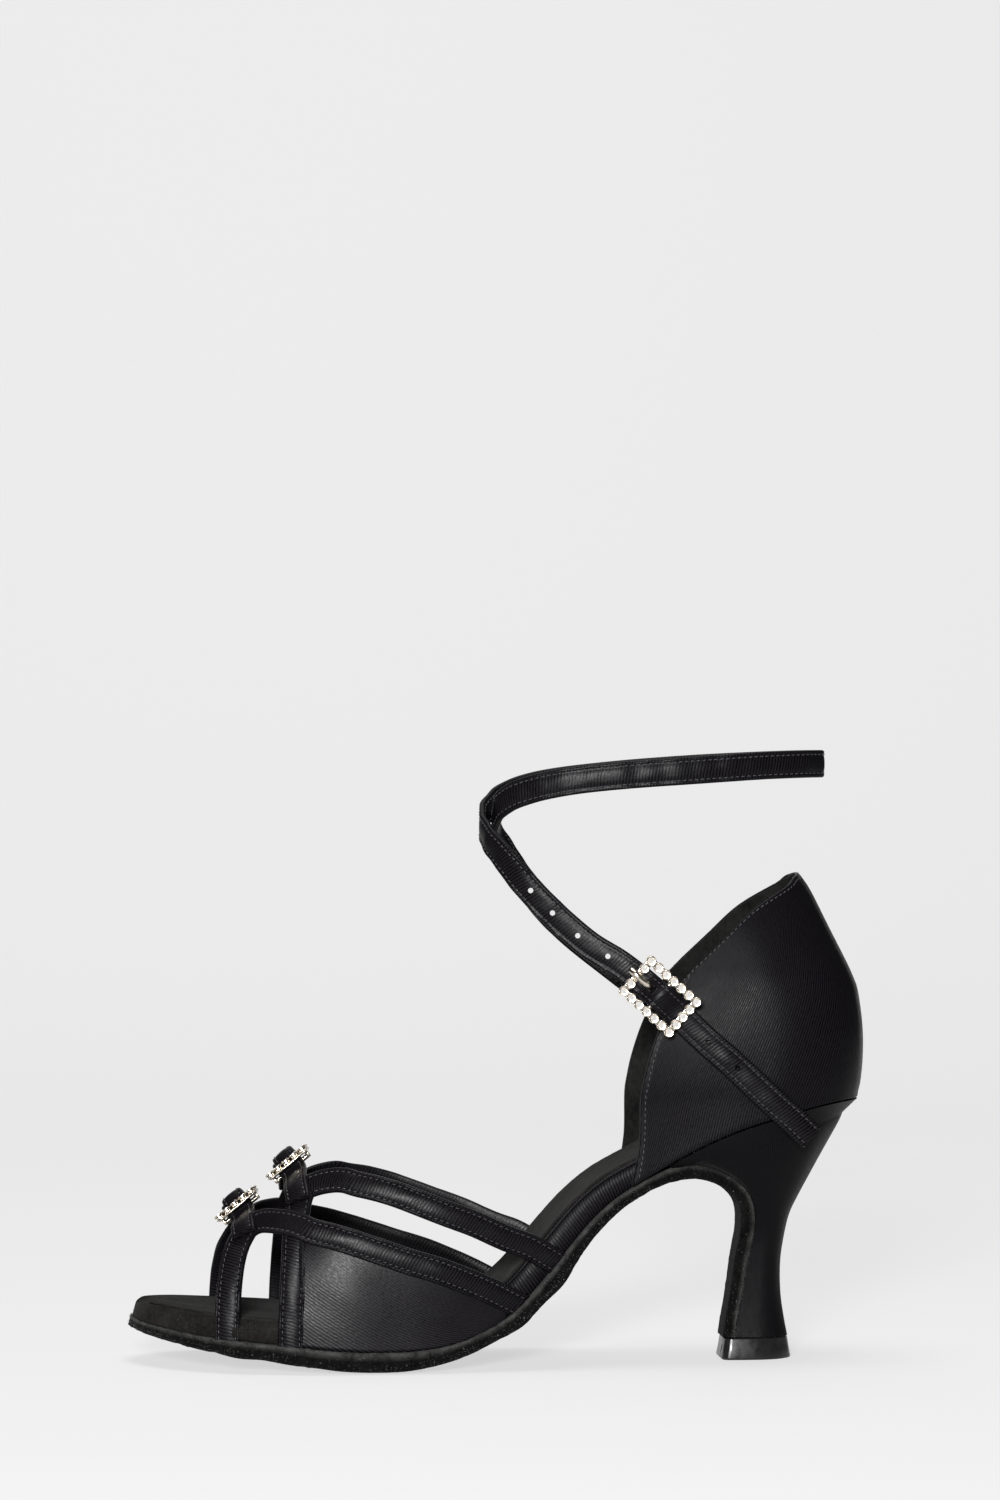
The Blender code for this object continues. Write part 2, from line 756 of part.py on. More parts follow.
def ridge_point(x, share):
    # A point of the last at a share of its half width, over the ridge from side to side.
    side = -1 if share < 0 else 1
    rise = (1 - abs(share) ** ARCH_POWER) ** (1 / ARCH_POWER)
    return Vector((x, share * last_half(x, side), ground(x, "z") + GAP + ridge(x) * rise))


def last_value(point):
    # 1 on the last's surface, and more outside it.
    side = -1 if point.y < 0 else 1
    wide = abs(point.y) / last_half(point.x, side)
    tall = max(0.0, point.z - ground(point.x, "z") - GAP) / ridge(point.x)
    return wide**ARCH_POWER + tall**ARCH_POWER


def last_normal(point):
    step = 0.0004
    slope = Vector()
    for axis in range(3):
        move = Vector()
        move[axis] = step
        slope[axis] = last_value(point + move) - last_value(point - move)
    return slope.normalized()


def ribbon(name, rows, width, colour):
    # A strap through rows of point, normal, lift and thick, with its outer edges taken off.
    loops = []
    for i, row in enumerate(rows):
        before, after = rows[max(0, i - 1)], rows[min(len(rows) - 1, i + 1)]
        run = (after["point"] - before["point"]).normalized()
        side = run.cross(row["normal"]).normalized()
        out = side.cross(run).normalized()
        base = row["point"] + out * row["lift"]
        half = width / 2
        edge = 0.3 * STRAP_THICKNESS
        thick = row["thick"]
        profile = (
            (-half, 0),
            (half, 0),
            (half, thick - edge),
            (half - edge, thick),
            (edge - half, thick),
            (-half, thick - edge),
        )
        loops.append([base + side * wide + out * high for wide, high in profile])
    return lofted(name, loops, colour)


def leg(name, rows, side, steps):
    path = []
    for row in refine(table(LEG_COLUMNS, rows), steps):
        point = last_point(along_x(row["along"]), row["rise"], side)
        path.append(
            {
                "point": point,
                "normal": last_normal(point),
                "lift": row["lift"] * STRAP_THICKNESS,
                "thick": STRAP_THICKNESS,
            }
        )
    return ribbon(name, path, STRAP_WIDTH, satin)


def band(name, along, sweep):
    half = table(BAND_COLUMNS, BAND_ROWS)
    mirrored = [{**row, "across": -row["across"]} for row in reversed(half[:-1])]
    path = []
    for row in half + mirrored:
        x = along_x(along + sweep * row["across"] ** 2)
        point = ridge_point(x, -row["across"])
        path.append(
            {
                "point": point,
                "normal": last_normal(point),
                "lift": row["lift"] * STRAP_THICKNESS,
                "thick": row["thick"] * STRAP_THICKNESS,
            }
        )
    return ribbon(name, path, BAND_WIDTH, satin)


def panel(name, side):
    # The solid side between the second front leg, the first rear leg and the sole.
    rows = refine(table(LEG_COLUMNS, REAR_LEG_A), 4)
    start, stop = FRONT_LEG_B[1][0], REAR_LEG_A[-2][0]
    loops = []
    for step in range(PANEL_STEPS + 1):
        along = start + (stop - start) * step / PANEL_STEPS
        x = along_x(along)
        top = lookup(rows, "along", along, "rise")
        low = -PANEL_SKIRT / ridge(x)
        inside = []
        outside = []
        for share in PANEL_SHARES:
            point = last_point(x, low + (top - low) * share, side)
            normal = last_normal(point)
            inside.append(point + normal * 0.4 * GAP)
            outside.append(point + normal * (0.4 * GAP + PANEL_THICKNESS))
        loops.append(inside + list(reversed(outside)))
    return lofted(name, loops, satin)


def vamp():
    pieces = [band(f"band_{name}", **place) for name, place in BANDS.items()]
    for side in (-1, 1):
        pieces.append(panel(f"panel_{side}", side))
        pieces.append(leg(f"front_leg_a_{side}", FRONT_LEG_A, side, 2))
        pieces.append(leg(f"rear_leg_a_{side}", REAR_LEG_A, side, 1))
        pieces.append(leg(f"front_leg_b_{side}", FRONT_LEG_B, side, 2))
        pieces.append(leg(f"rear_leg_b_{side}", REAR_LEG_B, side, 1))
    whole = pieces[0]
    whole.name = "vamp"
    combined(whole, [helper(piece) for piece in pieces[1:]], "UNION", "MANIFOLD")
    return combined(whole, [ground_block()], "DIFFERENCE")


def buckle_place(name):
    # The frame of a toe buckle: its middle on the band, its long way across the shoe.
    x = along_x(BANDS[name]["along"])
    point = ridge_point(x, 0.0)
    out = last_normal(point)
    long_way = Vector((0, -1, 0))
    out = (out - long_way * out.dot(long_way)).normalized()
    return place_matrix(point, long_way, out)


def place_matrix(point, long_way, out):
    short_way = out.cross(long_way).normalized()
    turn = Matrix((long_way, short_way, out)).transposed().to_4x4()
    return Matrix.Translation(point) @ turn


def box(name, middle, size, colour):
    bpy.ops.mesh.primitive_cube_add(size=1)
    made = bpy.context.object
    made.name = name
    made.data.transform(Matrix.Translation(middle) @ Matrix.Diagonal((*size, 1)))
    made.data.materials.append(colour)
    for collection in list(made.users_collection):
        collection.objects.unlink(made)
    shoe.objects.link(made)
    return made


def stone_places():
    long_half = (STONES_LONG - 1) / 2
    short_half = (STONES_SHORT - 1) / 2
    places = []
    for i in range(STONES_LONG):
        for j in range(STONES_SHORT):
            if i in (0, STONES_LONG - 1) or j in (0, STONES_SHORT - 1):
                places.append(((i - long_half) * STONE_PITCH, (j - short_half) * STONE_PITCH))
    return places


def cups(seat):
    # All cups with their stones as one mesh, each a turned shape with a flat top.
    profile = (
        (CUP_RADIUS * 0.88, seat),
        (CUP_RADIUS, seat + CUP_HEIGHT),
        (TABLE_RADIUS, seat + CUP_HEIGHT + STONE_CROWN),
    )
    points = []
    faces = []
    for u, v in stone_places():
        first = len(points)
        for radius, height in profile:
            for i in range(CUP_SIDES):
                turn = 2 * math.pi * (i + 0.5) / CUP_SIDES
                points.append((u + radius * math.cos(turn), v + radius * math.sin(turn), height))
        rings = len(profile)
        faces.append(tuple(first + i for i in reversed(range(CUP_SIDES))))
        faces.append(tuple(first + (rings - 1) * CUP_SIDES + i for i in range(CUP_SIDES)))
        for ring in range(rings - 1):
            for i in range(CUP_SIDES):
                j = (i + 1) % CUP_SIDES
                low = first + ring * CUP_SIDES
                faces.append((low + i, low + j, low + CUP_SIDES + j, low + CUP_SIDES + i))
    return mesh_object("cups", points, faces, metal)


def buckle_mesh(strap):
    # A buckle in its own frame: the strap's inner face is at height 0, and strap is its thickness.
    long_half = (STONES_LONG - 1) / 2 * STONE_PITCH
    short_half = (STONES_SHORT - 1) / 2 * STONE_PITCH
    floor = strap + GAP
    middle = floor + PLATE_THICKNESS / 2
    outer = (2 * long_half + PLATE_WIDTH, 2 * short_half + PLATE_WIDTH, PLATE_THICKNESS)
    inner = (2 * long_half - PLATE_WIDTH, 2 * short_half - PLATE_WIDTH, 2 * PLATE_THICKNESS)
    frame = box("frame", (0, 0, middle), outer, metal)
    hole = helper(box("hole", (0, 0, middle), inner, metal))
    combined(frame, [hole], "DIFFERENCE")
    bar_height = BAR_RADIUS + BAR_LOW
    bar_size = (2 * BAR_RADIUS, 2 * short_half + PLATE_WIDTH / 2, 2 * BAR_RADIUS)
    bar = box("bar", (0, 0, bar_height), bar_size, metal)
    post_tall = floor + PLATE_THICKNESS / 2
    posts = []
    for side in (-1, 1):
        place = (0, side * (short_half + PLATE_WIDTH / 4 - BAR_RADIUS / 2), post_tall / 2 + 0.0001)
        posts.append(box("post", place, (2.2 * BAR_RADIUS, 1.6 * BAR_RADIUS, post_tall - 0.0002), metal))
    others = [bar, *posts, cups(floor + PLATE_THICKNESS - 0.0002)]
    combined(frame, [helper(other) for other in others], "UNION")
    mesh = frame.data
    bpy.data.objects.remove(frame)
    return mesh


def placed(name, mesh, matrix):
    thing = bpy.data.objects.new(name, mesh)
    mesh.shade_smooth()
    mesh.set_sharp_from_angle(angle=math.radians(25))
    shoe.objects.link(thing)
    thing.matrix_world = matrix
    return thing


def laid_point(row, side, off):
    # A point beside the heel cup, off its surface by off.
    x = row["along"] * SHOE_LENGTH
    z = SEAT_HEIGHT + row["up"] * QUARTER_HEIGHT
    return Vector((x, side * (cup_side(x, max(z, SEAT_HEIGHT), side) + off), z))


def strap_path():
    half = ANKLE_STRAP_THICKNESS / 2
    tail = [laid_point(row, -1, NEAR_STANDOFF + half) for row in table(LAID_COLUMNS, TAIL_ROWS)]
    sewn = [laid_point(row, 1, FAR_STANDOFF + half) for row in table(LAID_COLUMNS, SEWN_ROWS)]
    loop = []
    for row in table(LOOP_COLUMNS, LOOP_ROWS):
        z = SEAT_HEIGHT + row["up"] * ANKLE_RISE
        loop.append(Vector((row["along"] * SHOE_LENGTH, row["side"] * ANKLE_WIDTH, z)))
    knots = [{"point": point} for point in tail + loop + sewn]
    return [row["point"] for row in refine(knots, KNOT_STEPS)]


def evenly(points, focus):
    # Points a step apart along the line, nearer where it turns sharply and at the focus.
    found = [points[0]]
    travelled = 0.0
    for i in range(1, len(points)):
        travelled += (points[i] - points[i - 1]).length
        turn = 0.0
        if i < len(points) - 1:
            turn = (points[i + 1] - points[i]).angle(points[i] - points[i - 1])
        step = STRAP_STEP / (1 + 9 * turn)
        if (points[i] - focus).length < 2 * BAR_REACH:
            step = STRAP_STEP_AT_BAR
        if travelled >= step or i == len(points) - 1:
            found.append(points[i])
            travelled = 0.0
    return found


def buckle_knot():
    # The middle of the ankle buckle and its long way, both read from the strap's path.
    path = strap_path()
    at = (len(TAIL_ROWS) - 1) * KNOT_STEPS
    half = ANKLE_STRAP_THICKNESS / 2
    long_way = (path[at + 6] - path[at - 6]).normalized()
    out = Vector((long_way.y, -long_way.x, 0)).normalized()
    if out.y > 0:
        out = -out
    out = (out - long_way * out.dot(long_way)).normalized()
    return place_matrix(path[at] - out * half, -long_way, out)


def ankle_strap():
    place = buckle_knot()
    half = ANKLE_STRAP_THICKNESS / 2
    out_way = place.to_3x3() @ Vector((0, 0, 1))
    middle = place.translation + out_way * half
    points = evenly(strap_path(), middle)
    rows = []
    for i, point in enumerate(points):
        run = points[min(len(points) - 1, i + 1)] - points[max(0, i - 1)]
        out = Vector((-run.y, run.x, 0)).normalized()
        near = math.exp(-(((point - middle).length / BAR_REACH) ** 2))
        raised = point + out_way * near * BAR_RISE
        rows.append({"point": raised, "normal": out, "lift": -half, "thick": 2 * half})
    strap = ribbon("ankle_strap", rows, ANKLE_STRAP_WIDTH, satin)
    size = (PRONG_SLOT, 2 * (PRONG_RADIUS + GAP), 4 * BAR_RISE)
    slot = helper(box("slot", (-TAB_TURN - PRONG_SLOT / 2, 0, BAR_RISE), size, satin))
    slot.data.transform(place)
    return combined(strap, [slot], "DIFFERENCE")


def buckle_prong():
    # A wire from the anchor tab's turn, through the strap's slot and over the buckle's short side.
    stones = ANKLE_STRAP_THICKNESS + GAP + PLATE_THICKNESS + CUP_HEIGHT + STONE_CROWN
    over = stones + GAP + PRONG_RADIUS
    side = (STONES_LONG - 1) / 2 * STONE_PITCH
    root = TAB_TURN + GAP + PRONG_RADIUS
    knots = [
        {"u": -root, "h": BAR_LOW + 2.4 * BAR_RADIUS},
        {"u": -1.25 * root, "h": 0.62 * over},
        {"u": -0.68 * side, "h": 0.92 * over},
        {"u": -side, "h": over},
        {"u": -1.18 * side, "h": 0.93 * over},
        {"u": -1.31 * side, "h": 0.74 * over},
    ]
    curve = bpy.data.curves.new("buckle_prong", "CURVE")
    curve.dimensions = "3D"
    curve.bevel_depth = PRONG_RADIUS
    curve.bevel_resolution = 2
    curve.use_fill_caps = True
    line = curve.splines.new("POLY")
    path = refine(knots, 3)
    line.points.add(len(path) - 1)
    for point, row in zip(line.points, path):
        point.co = (row["u"], 0, row["h"], 1)
    curve.materials.append(metal)
    prong = bpy.data.objects.new("buckle_prong", curve)
    shoe.objects.link(prong)
    prong.matrix_world = buckle_knot()
    return prong


def buckle_tab():
    # The short strap that holds the buckle: sewn to the cup under the tail and turned round the bar.
    path = strap_path()
    at = (len(TAIL_ROWS) - 1) * KNOT_STEPS
    place = buckle_knot()
    out_way = place.to_3x3() @ Vector((0, 0, 1))
    under = ANKLE_STRAP_THICKNESS / 2 + GAP + TAB_THICKNESS / 2
    rows = []
    for i in range(at - 14, at - 2, 2):
        rows.append({"point": path[i] - out_way * under, "normal": out_way})
    turn = TAB_TURN - TAB_THICKNESS / 2
    centre = BAR_RADIUS + BAR_LOW
    for step in range(-1, 8):
        angle = math.radians(-90 - 25 * step)
        out = Vector((math.cos(angle), 0, math.sin(angle)))
        point = Vector((0, 0, centre)) + out * turn
        rows.append({"point": place @ point, "normal": -(place.to_3x3() @ out)})
    rows[len(rows) - 9]["point"] = rows[len(rows) - 9]["point"].lerp(rows[len(rows) - 10]["point"], 0.3)
    for row in rows:
        row["lift"] = -TAB_THICKNESS / 2
        row["thick"] = TAB_THICKNESS
    return ribbon("buckle_tab", rows, TAB_WIDTH, satin)


for thing in list(bpy.data.objects):
    bpy.data.objects.remove(thing)
shoe = bpy.data.collections.new("dance_sandal")
cutters = bpy.data.collections.new("cutters")
bpy.context.scene.collection.children.link(shoe)
bpy.context.scene.collection.children.link(cutters)

satin = material("satin", (0.012, 0.012, 0.013), 0.42)
suede_sole = material("sole_suede", (0.10, 0.095, 0.09), 0.95)
suede_sock = material("sock_suede", (0.03, 0.027, 0.025), 0.95)
plastic = material("lift_plastic", (0.008, 0.008, 0.009), 0.18)
metal = material("buckle_metal", (0.78, 0.74, 0.66), 0.2, 1.0)

ground_line = ground_rows(6)
ridge_rows = refine(table(RIDGE_COLUMNS, RIDGE_ROWS), 4)
for row in ridge_rows:
    row["x"] = along_x(row["along"])
quarter_rows = refine(table(QUARTER_COLUMNS, QUARTER_ROWS), 3)
topline_rows = refine(table(TOPLINE_COLUMNS, TOPLINE_ROWS), 3)
for row in topline_rows:
    row["x"] = row["along"] * SHOE_LENGTH

outsole()
insole()
sock()
heel()
top_lift()
quarter()
vamp()
toe_buckle = buckle_mesh(STRAP_THICKNESS)
for name in BANDS:
    placed(f"toe_buckle_{name}", toe_buckle, buckle_place(name))
ankle_strap()
placed("ankle_buckle", buckle_mesh(ANKLE_STRAP_THICKNESS), buckle_knot())
buckle_prong()
buckle_tab()
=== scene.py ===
import bisect
import math
import random

import bpy
from mathutils import Matrix, Vector


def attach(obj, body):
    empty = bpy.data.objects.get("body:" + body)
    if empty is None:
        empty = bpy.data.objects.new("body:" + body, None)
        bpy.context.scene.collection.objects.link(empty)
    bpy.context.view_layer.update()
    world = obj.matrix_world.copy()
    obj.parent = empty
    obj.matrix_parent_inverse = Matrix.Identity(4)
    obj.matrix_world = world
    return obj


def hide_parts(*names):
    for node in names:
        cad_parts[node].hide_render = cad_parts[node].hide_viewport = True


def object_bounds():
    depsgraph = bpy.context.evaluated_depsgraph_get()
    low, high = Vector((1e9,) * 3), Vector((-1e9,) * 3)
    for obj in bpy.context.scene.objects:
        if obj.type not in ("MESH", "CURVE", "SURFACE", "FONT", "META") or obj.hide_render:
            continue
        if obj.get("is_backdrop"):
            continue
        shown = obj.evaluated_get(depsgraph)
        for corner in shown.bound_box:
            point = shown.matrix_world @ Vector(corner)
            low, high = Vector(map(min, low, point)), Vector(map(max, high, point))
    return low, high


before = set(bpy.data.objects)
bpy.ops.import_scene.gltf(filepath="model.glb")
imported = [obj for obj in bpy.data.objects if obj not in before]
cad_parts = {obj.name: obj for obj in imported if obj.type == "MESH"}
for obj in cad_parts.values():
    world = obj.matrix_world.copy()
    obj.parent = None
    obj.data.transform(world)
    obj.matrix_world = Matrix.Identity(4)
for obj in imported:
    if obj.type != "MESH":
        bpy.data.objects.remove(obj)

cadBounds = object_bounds()
mm = 0.001
print("frame loaded:", len(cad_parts), "solids")


# The last that every piece lies on, in metres. The toe points to -X, the outer side to -Y.
last = {
    "length": 212.5 * mm,
    "ballWidth": 76.5 * mm,
    "seatHeight": 75.5 * mm,
    "instepHeight": 83.0 * mm,
    "quarterHeight": 65.7 * mm,
    "ankleRise": 97.1 * mm,
    "ankleWidth": 34.5 * mm,
    "upperInset": 2.4 * mm,
    "heelStation": 0.8588,
    "archPower": 2.5,
    "gap": 0.3 * mm,
}

# Sole top from toe to waist: place of the length, top of the seat height, leather thickness in mm,
# half widths of the ball width, insole thickness in mm.
soleColumns = ("along", "top", "thick", "outer", "inner", "pad")
soleRows = (
    (0.008, 0.171, 2.4, -0.046, 0.111, 4.4),
    (0.012, 0.168, 2.6, 0.020, 0.176, 4.5),
    (0.021, 0.163, 2.9, 0.092, 0.235, 4.7),
    (0.038, 0.156, 3.2, 0.170, 0.294, 5.0),
    (0.065, 0.146, 3.5, 0.268, 0.359, 5.3),
    (0.106, 0.131, 4.0, 0.366, 0.418, 5.7),
    (0.153, 0.119, 4.5, 0.431, 0.460, 5.9),
    (0.219, 0.103, 5.4, 0.484, 0.492, 6.1),
    (0.289, 0.085, 6.57, 0.510, 0.497, 6.1),
    (0.369, 0.083, 6.57, 0.505, 0.464, 6.1),
    (0.421, 0.099, 5.2, 0.489, 0.412, 6.3),
    (0.464, 0.135, 4.3, 0.460, 0.366, 6.7),
    (0.506, 0.196, 3.9, 0.426, 0.335, 6.9),
    (0.539, 0.275, 3.8, 0.400, 0.318, 7.0),
    (0.567, 0.363, 3.8, 0.382, 0.305, 7.0),
    (0.595, 0.458, 3.8, 0.366, 0.295, 6.9),
    (0.628, 0.562, 3.6, 0.348, 0.288, 6.8),
    (0.661, 0.641, 3.4, 0.332, 0.286, 6.5),
    (0.699, 0.707, 3.4, 0.322, 0.290, 6.0),
)
seatColumns = ("along", "top", "outer", "inner", "pad")
seatRows = (
    (0.741, 0.776, 0.319, 0.298, 5.4),
    (0.788, 0.844, 0.323, 0.308, 5.0),
    (0.835, 0.898, 0.329, 0.319, 4.8),
    (0.882, 0.939, 0.328, 0.322, 4.6),
    (0.929, 0.976, 0.303, 0.301, 4.6),
    (0.962, 0.993, 0.256, 0.254, 4.6),
    (0.986, 0.999, 0.176, 0.176, 4.6),
    (0.997, 1.000, 0.092, 0.092, 4.6),
    (1.000, 1.000, 0.033, 0.033, 4.6),
)
# The leather's way down the breast and the heel behind it.
breastColumns = ("frontX", "frontZ", "thick", "leather", "backX", "backZ", "heel")
breastRows = (
    (-0.1318, 0.742, 3.8, 0.301, 0.1242, 0.960, 0.316),
    (-0.1035, 0.762, 4.6, 0.268, 0.1186, 0.919, 0.308),
    (-0.0776, 0.759, 4.8, 0.222, 0.1054, 0.853, 0.292),
    (-0.0485, 0.730, 4.5, 0.178, 0.0904, 0.779, 0.261),
    (-0.0235, 0.680, 4.2, 0.149, 0.0744, 0.697, 0.217),
    (-0.0085, 0.625, 4.1, 0.131, 0.0607, 0.625, 0.174),
    (-0.0028, 0.556, 4.1, 0.118, 0.0489, 0.554, 0.135),
    (-0.0056, 0.469, 3.9, 0.108, 0.0414, 0.464, 0.108),
    (-0.0132, 0.371, 3.7, 0.102, 0.0367, 0.366, 0.098),
    (-0.0198, 0.252, 3.5, 0.099, 0.0372, 0.249, 0.097),
    (-0.0264, 0.154, 3.4, 0.101, 0.0419, 0.154, 0.101),
    (-0.0301, 0.086, 3.4, 0.103, 0.0466, 0.086, 0.106),
)
# The instep's ridge: place of the length, and height of the instep height.
ridgeRows = (
    (0.082, 0.224),
    (0.161, 0.410),
    (0.231, 0.571),
    (0.294, 0.725),
    (0.388, 0.908),
    (0.482, 1.000),
    (0.577, 0.916),
    (0.624, 0.831),
)
# The heel cup by height: up of the quarter height, back and front of the length, width of the sole's.
cupRows = (
    (-0.350, 0.1412, 0.985, -0.1774),
    (-0.183, 0.1412, 0.992, -0.1685),
    (0.000, 0.1412, 1.005, -0.1675),
    (0.068, 0.1454, 1.022, -0.1647),
    (0.175, 0.1487, 1.030, -0.1572),
    (0.312, 0.1487, 1.024, -0.1431),
    (0.470, 0.1426, 0.992, -0.1205),
    (0.540, 0.1355, 0.972, -0.1082),
    (0.616, 0.1247, 0.935, -0.0941),
    (0.772, 0.1002, 0.860, -0.0659),
    (0.927, 0.0762, 0.770, -0.0376),
    (1.000, 0.0598, 0.720, -0.0235),
)
# The cup's top edge: X of the length, and height of the quarter height.
toplineRows = (
    (-0.1700, 0.210),
    (-0.1082, 0.540),
    (-0.0904, 0.601),
    (-0.0518, 0.718),
    (-0.0104, 0.845),
    (0.0400, 0.948),
    (0.0598, 1.000),
    (0.1400, 1.100),
)


def table(columns, rows):
    return [dict(zip(columns, row)) for row in rows]


def smooth(a, b, c, d, t):
    return 0.5 * (2 * b + (c - a) * t + (2 * a - 5 * b + 4 * c - d) * t**2 + (3 * b - a - 3 * c + d) * t**3)


def refine(rows, steps):
    found = []
    for i in range(len(rows) - 1):
        around = [rows[max(0, min(len(rows) - 1, i + k))] for k in (-1, 0, 1, 2)]
        for step in range(steps):
            found.append({key: smooth(*(row[key] for row in around), step / steps) for key in rows[i]})
    found.append(dict(rows[-1]))
    return found


def refined(columns, rows, steps):
    return refine(table(columns, rows), steps)


def clamp(value):
    return max(0.0, min(1.0, value))


def beside(rows, i):
    # The rows before and after row i. At an end it is the end row itself.
    return rows[max(0, i - 1)], rows[min(len(rows) - 1, i + 1)]


def upFrom(rows, i, x="x", z="z"):
    # The way up from a line's run at row i, as seen from the side.
    before, after = beside(rows, i)
    run = Vector((after[x] - before[x], 0, after[z] - before[z])).normalized()
    return Vector((-run.z, 0, run.x))


class Line:
    # Rows that are read between at any value of their key column, which place may turn into another measure.
    def __init__(self, rows, key, place=float):
        self.keys = [place(row[key]) for row in rows]
        self.columns = {name: [row[name] for row in rows] for name in rows[0]}

    def at(self, value, name):
        column = self.columns[name]
        i = min(max(bisect.bisect(self.keys, value) - 1, 0), len(self.keys) - 2)
        share = (value - self.keys[i]) / (self.keys[i + 1] - self.keys[i])
        return column[i] + (column[i + 1] - column[i]) * clamp(share)


def alongX(along):
    return (along - last["heelStation"]) * last["length"]


def groundRows(steps):
    named = [{key: row[key] for key in seatColumns} for row in table(soleColumns, soleRows)]
    rows = refine(named + table(seatColumns, seatRows), steps)
    for row in rows:
        row["x"] = alongX(row["along"])
        row["z"] = row["top"] * last["seatHeight"]
        row["outer"] *= last["ballWidth"]
        row["inner"] *= last["ballWidth"]
        row["pad"] *= mm
    for i, row in enumerate(rows):
        up = upFrom(rows, i)
        row["nx"], row["nz"] = up.x, up.z
    return rows


groundLine = Line(groundRows(6), "x")
ridgeLine = Line(refined(("along", "ridge"), ridgeRows, 6), "along", alongX)
cupLine = Line(refined(("up", "back", "wide", "front"), cupRows, 4), "up")
toplineLine = Line(refined(("along", "up"), toplineRows, 4), "along", lambda along: along * last["length"])


def ground(x, name):
    return groundLine.at(x, name)


def halfAt(x, side):
    return ground(x, "outer" if side < 0 else "inner")


def sideOf(y):
    return -1 if y < 0 else 1


def above(x, y, height):
    return Vector((x + ground(x, "nx") * height, y, ground(x, "z") + ground(x, "nz") * height))


def outlinePairs(inset, steps):
    rows = groundRows(steps)
    ring = [Vector((row["x"], row["inner"])) for row in rows]
    ring += [Vector((row["x"], -row["outer"])) for row in reversed(rows)]
    moved = []
    for i, point in enumerate(ring):
        before = (point - ring[i - 1]).normalized()
        after = (ring[(i + 1) % len(ring)] - point).normalized()
        run = (before + after).normalized()
        moved.append(point + Vector((run.y, -run.x)) * inset)
    return [(moved[-1 - i], moved[i]) for i in range(len(rows))]


def across(pair, share, height):
    plan = pair[0].lerp(pair[1], share)
    return above(plan.x, plan.y, height)


def ridge(x):
    return ridgeLine.at(x, "ridge") * last["instepHeight"]


def lastHalf(x, side):
    return halfAt(x, side) - last["upperInset"]


def arch(value):
    # What is left to the last's rounded section, up or across, at a share of the other.
    return (1 - clamp(value) ** last["archPower"]) ** (1 / last["archPower"])


def lastAt(x, across, up, side):
    return Vector((x, across * lastHalf(x, side), ground(x, "z") + last["gap"] + ridge(x) * up))


def lastPoint(x, rise, side):
    return lastAt(x, side * arch(rise), rise, side)


def ridgePoint(x, share):
    return lastAt(x, share, arch(abs(share)), sideOf(share))


def lastValue(point):
    wide = abs(point.y) / lastHalf(point.x, sideOf(point.y))
    tall = max(0.0, point.z - ground(point.x, "z") - last["gap"]) / ridge(point.x)
    return wide ** last["archPower"] + tall ** last["archPower"]


def lastNormal(point):
    step = 0.4 * mm
    slope = Vector()
    for axis in range(3):
        move = Vector()
        move[axis] = step
        slope[axis] = lastValue(point + move) - lastValue(point - move)
    return slope.normalized()


def cupAt(z, name):
    return cupLine.at((z - last["seatHeight"]) / last["quarterHeight"], name)


def cupX(share, z):
    front, back = cupAt(z, "front") * last["length"], cupAt(z, "back") * last["length"]
    return front + (back - front) * share


def cupSide(x, z, side):
    seatX = alongX(1.0) - (cupAt(z, "back") * last["length"] - x)
    return halfAt(seatX, side) * cupAt(z, "wide")


def bump(value, middle, reach):
    return math.exp(-(((value - middle) / reach) ** 2))


# Making pieces.
def deselect():
    bpy.ops.object.select_all(action="DESELECT")


def activate(piece):
    deselect()
    piece.select_set(True)
    bpy.context.view_layer.objects.active = piece


def editMode(piece, *steps):
    # Runs the steps in edit mode with the whole piece selected before each.
    activate(piece)
    bpy.ops.object.mode_set(mode="EDIT")
    for step in steps:
        bpy.ops.mesh.select_all(action="SELECT")
        step()
    bpy.ops.object.mode_set(mode="OBJECT")


def applyModifier(piece, kind, **settings):
    activate(piece)
    modifier = piece.modifiers.new(kind.title(), kind)
    for key, value in settings.items():
        setattr(modifier, key, value)
    bpy.ops.object.modifier_apply(modifier=modifier.name)


def removePiece(piece):
    bpy.data.objects.remove(piece)


def cutBy(piece, *cutters):
    for cutter in cutters:
        applyModifier(piece, "BOOLEAN", operation="DIFFERENCE", solver="EXACT", object=cutter)
        removePiece(cutter)


def clouds(name, scale, depth=2):
    texture = bpy.data.textures.new(name, "CLOUDS")
    texture.noise_scale = scale * mm
    texture.noise_depth = depth
    return texture


def displace(piece, texture, strength, level=0.5, **settings):
    settings = {"mid_level": level, "texture_coords": "LOCAL", **settings}
    applyModifier(piece, "DISPLACE", texture=texture, strength=strength * mm, **settings)


def smoothed(piece, angle):
    activate(piece)
    bpy.ops.object.shade_smooth_by_angle(angle=math.radians(angle))
    return piece


def mergeDoubles():
    bpy.ops.mesh.remove_doubles(threshold=0.002 * mm)


def faceOut():
    bpy.ops.mesh.normals_make_consistent(inside=False)


def fillEnds():
    bpy.ops.mesh.fill_holes(sides=0)


